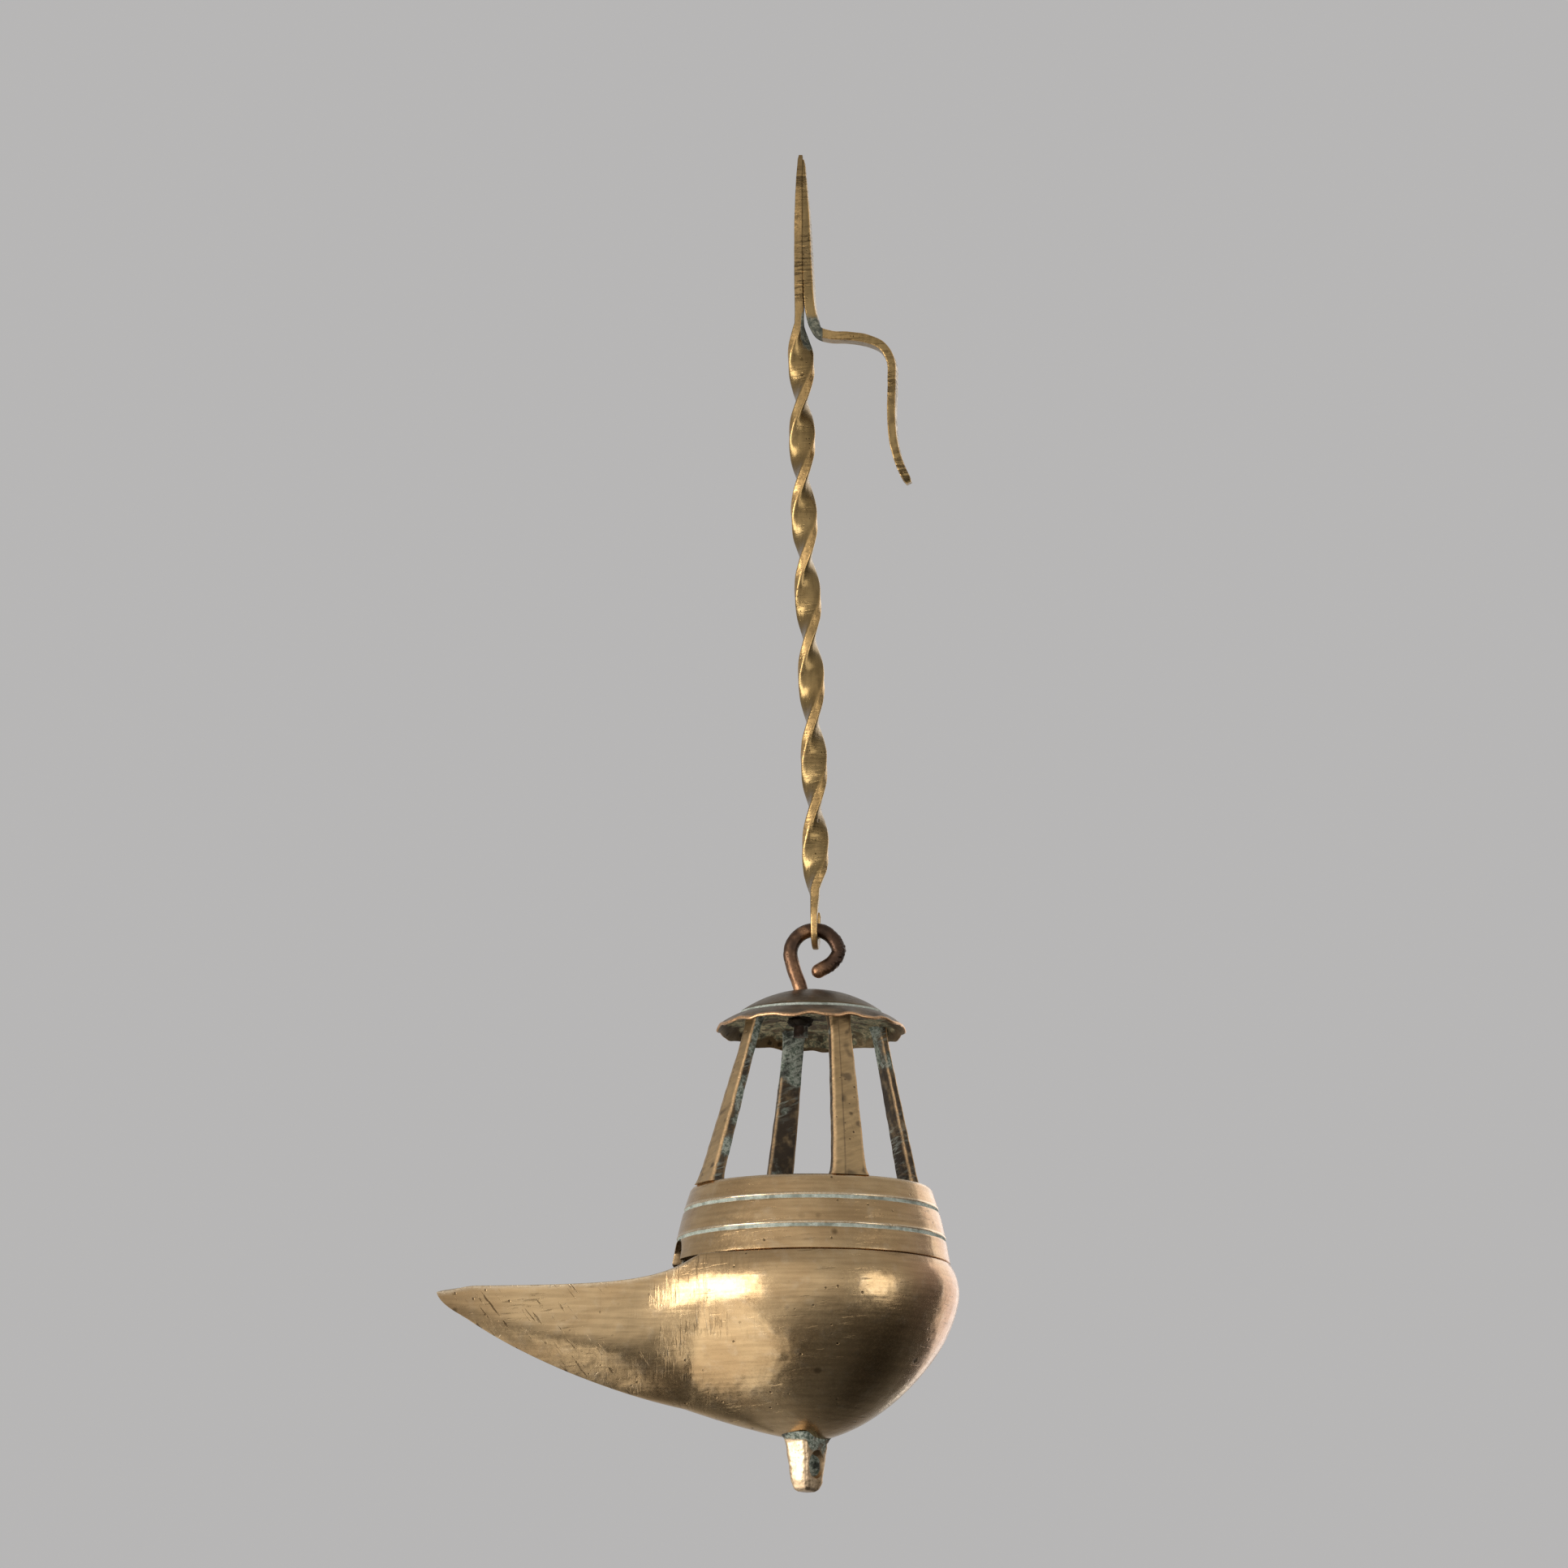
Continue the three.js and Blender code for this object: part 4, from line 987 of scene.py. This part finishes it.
def oil_bowl():
    outer = [vessel_ring(level, OUTSIDE) for level in levels(100)]
    inner = [vessel_ring(level, INSIDE) for level in levels(60)]
    outer_rim, inner_rim = np.array(outer[-1]), np.array(vessel_ring(1.0, INSIDE))
    lip = []
    for t, rise in ((0.04, 0.10), (0.14, 0.2), (0.35, 0.26), (0.65, 0.26), (0.86, 0.2), (0.96, 0.10)):
        ring = outer_rim + (inner_rim - outer_rim) * t
        ring[:, 2] += rise
        lip.append(list(ring))
    rings, masks = [], Masks("wear", "crust", "grime", "file", "scratch")
    for i, ring in enumerate(outer + lip + inner[::-1]):
        outside, inside = i < len(outer), i >= len(outer) + len(lip) // 2
        placed = []
        for p in ring:
            x, y, z = p
            if outside:
                out = np.array((x * (0.25 if x > 40 else 1), y, 0.0))
                out /= max(np.linalg.norm(out), 1e-6)
                p = p + out * (0.16 * rough(p, 0.07, 3.0) + 0.05 * rough(p, 0.25, 5.0))
            placed.append(lamp_to_row(p))
            rim = smooth_step(1.2, 0.0, BOWL_RIM_Z - rim_dip(x) - z)
            tip = smooth_step(108, 121, x)
            keel = smooth_step(60, 90, x) * smooth_step(6, 0, abs(y))
            root = smooth_step(6, 1, math.hypot(x - LUG_X, y)) * smooth_step(-350, -357, z)
            seam = rim * smooth_step(44, 38, x)
            masks.add(
                wear=0.55 * rim * smooth_step(38, 50, x) if outside else 0.5 * (not inside),
                crust=0.35 if inside else 0.55 * root,
                grime=0.7 if inside else max(0.45 * tip, 0.4 * keel, 0.5 * root, 0.15 * seam),
                file=bell(x, 48, 15) * (0.35 + 0.65 * smooth_step(-340, -320, z)) * outside,
                scratch=smooth_step(52, 62, x) * (1 - 0.3 * tip) * outside,
            )
        rings.append(placed)
    verts, faces = skin(rings)
    masks.cap(0.0, 0.3)
    make_piece("spouted_bowl", verts, faces, bowl_brass, "lamp", ["oil_bowl"], masks)


# ---- lug

def loose_solid(name, rings):
    verts, faces = skin(rings)
    mesh = bpy.data.meshes.new(name)
    mesh.from_pydata([tuple(v) for v in verts], [], faces)
    aim_faces_out(mesh)
    made = bpy.data.objects.new(name, mesh)
    bpy.context.scene.collection.objects.link(made)
    return made


def drilled_lug():
    """Mesh of a tapered tongue with a flared hole through it, in the lug's own turn, in millimetres."""
    top_z = OUTSIDE["floor"] + 2.2
    # Size by the share of the way up.
    sizes = [(0, 0.4), (0.02, 0.52), (0.05, 0.62), (0.18, 0.76), (0.5, 0.88), (0.84, 1.0), (0.93, 1.12),
             (1, 1.3)]
    rings = []
    for share in np.linspace(0, 1, 70):
        size = between(sizes, share)
        z = LUG_BOTTOM_Z + (top_z - LUG_BOTTOM_Z) * share
        section = rounded_section(LUG_WIDTH * size, LUG_THICKNESS * size, 72, 5.5)
        rings.append([(s, t, z) for s, t in section])
    drill_rings = []
    for along in np.linspace(-9, 9, 60):
        flare = LUG_HOLE_RADIUS + 1.3 * smooth_step(2.0, 4.4, abs(along))
        drill_rings.append([(flare * math.sin(a), along, LUG_HOLE_Z + 1.15 * flare * math.cos(a))
                            for a in np.linspace(0, 2 * math.pi, 48, endpoint=False)])
    blank, drill = loose_solid("lug_blank", rings), loose_solid("lug_drill", drill_rings)
    cutter = blank.modifiers.new("hole", "BOOLEAN")
    cutter.operation = "DIFFERENCE"
    cutter.solver = "EXACT"
    cutter.object = drill
    bpy.context.view_layer.update()
    evaluated = blank.evaluated_get(bpy.context.evaluated_depsgraph_get())
    mesh = bpy.data.meshes.new_from_object(evaluated)
    for made in (blank, drill):
        bpy.data.objects.remove(made)
    return mesh


def bottom_lug():
    mesh = drilled_lug()
    placed, masks = [], Masks("wear", "crust", "grime")
    turn = Matrix.Rotation(LUG_TURN, 3, "Z")
    for vertex in mesh.vertices:
        p = vertex.co
        hole = smooth_step(LUG_HOLE_RADIUS + 1.0, LUG_HOLE_RADIUS + 0.2, math.hypot(p.x, p.z - LUG_HOLE_Z))
        hole *= smooth_step(4.9, 3.6, abs(p.y))
        q = turn @ p
        q = Vector((q.x + LUG_X, q.y, q.z))
        bump = 0.22 * rough(q, 0.35, 4.0) + 0.1 * rough(q, 1.1, 8.0)
        out = Vector((p.x, p.y, 0))
        out = (turn @ out.normalized()) if out.length > 0.5 else Vector((0, 0, 0))
        placed.append(lamp_to_row(q + out * bump * (1 - hole)))
        root = smooth_step(-361.5, -358.5, p.z)
        broad = smooth_step(0.86, 0.98, abs(p.y) / (LUG_THICKNESS / 2))
        far = broad * (p.y > 0)
        masks.add(
            crust=max(0.75 * hole, 0.75 * root, 0.62 * far),
            grime=max(0.9 * hole, 0.6 * root, 0.7 * far),
            wear=0.7 * (1 - broad) * (1 - hole) * (p.x > 0),
        )
    faces = [tuple(polygon.vertices) for polygon in mesh.polygons]
    make_piece("pierced_lug", placed, faces, lug_brass, "lamp", ["bottom_lug"], masks,
               sharp=35)


twisted_strip()
side_hook_strip()
rod_hook()
burred_washer()
canopy()
for strut_name, sizes in STRUTS.items():
    strut(strut_name, **sizes)
neck_collar()
oil_bowl()
bottom_lug()


# ---- stage, light and camera

FLOOR_HALF, FLOOR_Z, FLOOR_STEPS, FLOOR_GREY = 6.0, -1.3, 24, 0.55
BACKGROUND = (0.475, 0.468, 0.466, 1)
SKY_STRENGTH, SKY_COLOR = 0.48, (1.0, 0.99, 0.985, 1)
# Direction, the cosines of the angle from it where the change starts and is full, and the share of the sky's
# strength that is taken off there; below zero it is added.
SKY_PATCHES = (
    ((0.3, -0.2, -0.93), 0.3, 0.97, 0.8),
    ((0.75, 0.4, -0.5), 0.5, 0.98, 0.75),
    ((-0.45, -0.88, -0.15), 0.35, 1.0, -0.9),
)
MIDDLE, SPOUT = Vector((-0.015, 0.0, -0.30)), Vector((-0.085, -0.02, -0.335))
LIGHT_COLOR = (1.0, 0.985, 0.96)
# Target, azimuth and elevation in degrees, distance and size in metres, watts.
LIGHTS = {
    "softbox_left": (MIDDLE, -60, -3, 1.3, (0.8, 0.8), 10),
    "softbox_right": (MIDDLE, 52, -2, 1.3, (0.6, 0.8), 2.6),
    "softbox_back": (MIDDLE, 145, 8, 1.6, (1.2, 1.4), 6),
    "card_below": (SPOUT, -75, -52, 0.34, (0.34, 0.30), 0.30),
}
CAMERA_LENS, CAMERA_SENSOR, CAMERA_TILT = 200, 36, math.radians(10.5)
CAMERA_PLACE = (-0.02072, -2.76812, -0.65981)


def add_floor():
    f = Finish("studio_floor")
    grain = f.noise(0.02, 4.0, 0.6)
    color = f.mix(f.range(grain, 0.3, 0.7), (FLOOR_GREY, FLOOR_GREY, FLOOR_GREY * 0.985),
                  (FLOOR_GREY * 0.96,) * 3)
    across = np.linspace(-FLOOR_HALF, FLOOR_HALF, FLOOR_STEPS + 1)
    verts = [(x, y, FLOOR_Z) for y in across for x in across]
    row = FLOOR_STEPS + 1
    corners = [j * row + i for j in range(FLOOR_STEPS) for i in range(FLOOR_STEPS)]
    mesh = bpy.data.meshes.new("studio_floor")
    mesh.from_pydata(verts, [], [(a, a + 1, a + row + 1, a + row) for a in corners])
    mesh.materials.append(f.finish(color, 0.9, 0.0, grain, 0.3))
    floor = bpy.data.objects.new("studio_floor", mesh)
    bpy.context.scene.collection.objects.link(floor)
    floor.visible_glossy = False


def add_sky():
    """A sky that lights the lamp unevenly but looks plain grey to the camera."""
    sky = Nodes(bpy.data.worlds.new("studio"))
    bpy.context.scene.world = sky.owner
    ray = sky.node("ShaderNodeTexCoord").outputs["Generated"]
    strength = SKY_STRENGTH
    for direction, low, high, share in SKY_PATCHES:
        dot = sky.node("ShaderNodeVectorMath", operation="DOT_PRODUCT")
        sky.feed(dot.inputs[0], ray)
        dot.inputs[1].default_value = Vector(direction).normalized()
        strength = sky.times(sky.range(dot.outputs["Value"], low, high, 1.0, 1 - share), strength)
    pick = sky.node("ShaderNodeMixShader")
    sky.feed(pick.inputs[0], sky.node("ShaderNodeLightPath").outputs["Is Camera Ray"])
    for socket, color, level in ((pick.inputs[1], SKY_COLOR, strength), (pick.inputs[2], BACKGROUND, 1.0)):
        background = sky.node("ShaderNodeBackground")
        sky.feed(background.inputs["Color"], color)
        sky.feed(background.inputs["Strength"], level)
        sky.feed(socket, background.outputs[0])
    sky.feed(sky.node("ShaderNodeOutputWorld").inputs["Surface"], pick.outputs[0])


def add_light(name, target, azimuth, elevation, distance, size, power):
    light = bpy.data.lights.new(name, "AREA")
    light.shape = "RECTANGLE"
    light.size, light.size_y = size
    light.energy = power
    light.color = LIGHT_COLOR
    lamp = bpy.data.objects.new(name, light)
    bpy.context.scene.collection.objects.link(lamp)
    a, e = math.radians(azimuth), math.radians(elevation)
    away = Vector((math.sin(a) * math.cos(e), -math.cos(a) * math.cos(e), math.sin(e)))
    lamp.visible_camera = False
    lamp.location = target + away * distance
    lamp.rotation_euler = away.to_track_quat("Z", "Y").to_euler()


def add_camera():
    lens = bpy.data.cameras.new("camera")
    lens.lens, lens.sensor_width = CAMERA_LENS, CAMERA_SENSOR
    lens.clip_start, lens.clip_end = 0.1, 50
    camera = bpy.data.objects.new("camera", lens)
    bpy.context.scene.collection.objects.link(camera)
    camera.location = CAMERA_PLACE
    look = Vector((0, math.cos(CAMERA_TILT), math.sin(CAMERA_TILT)))
    camera.rotation_euler = look.to_track_quat("-Z", "Y").to_euler()
    bpy.context.scene.camera = camera
    bpy.context.scene.view_settings.view_transform = "Standard"


add_floor()
add_sky()
for light_name, light_sizes in LIGHTS.items():
    add_light(light_name, *light_sizes)
add_camera()
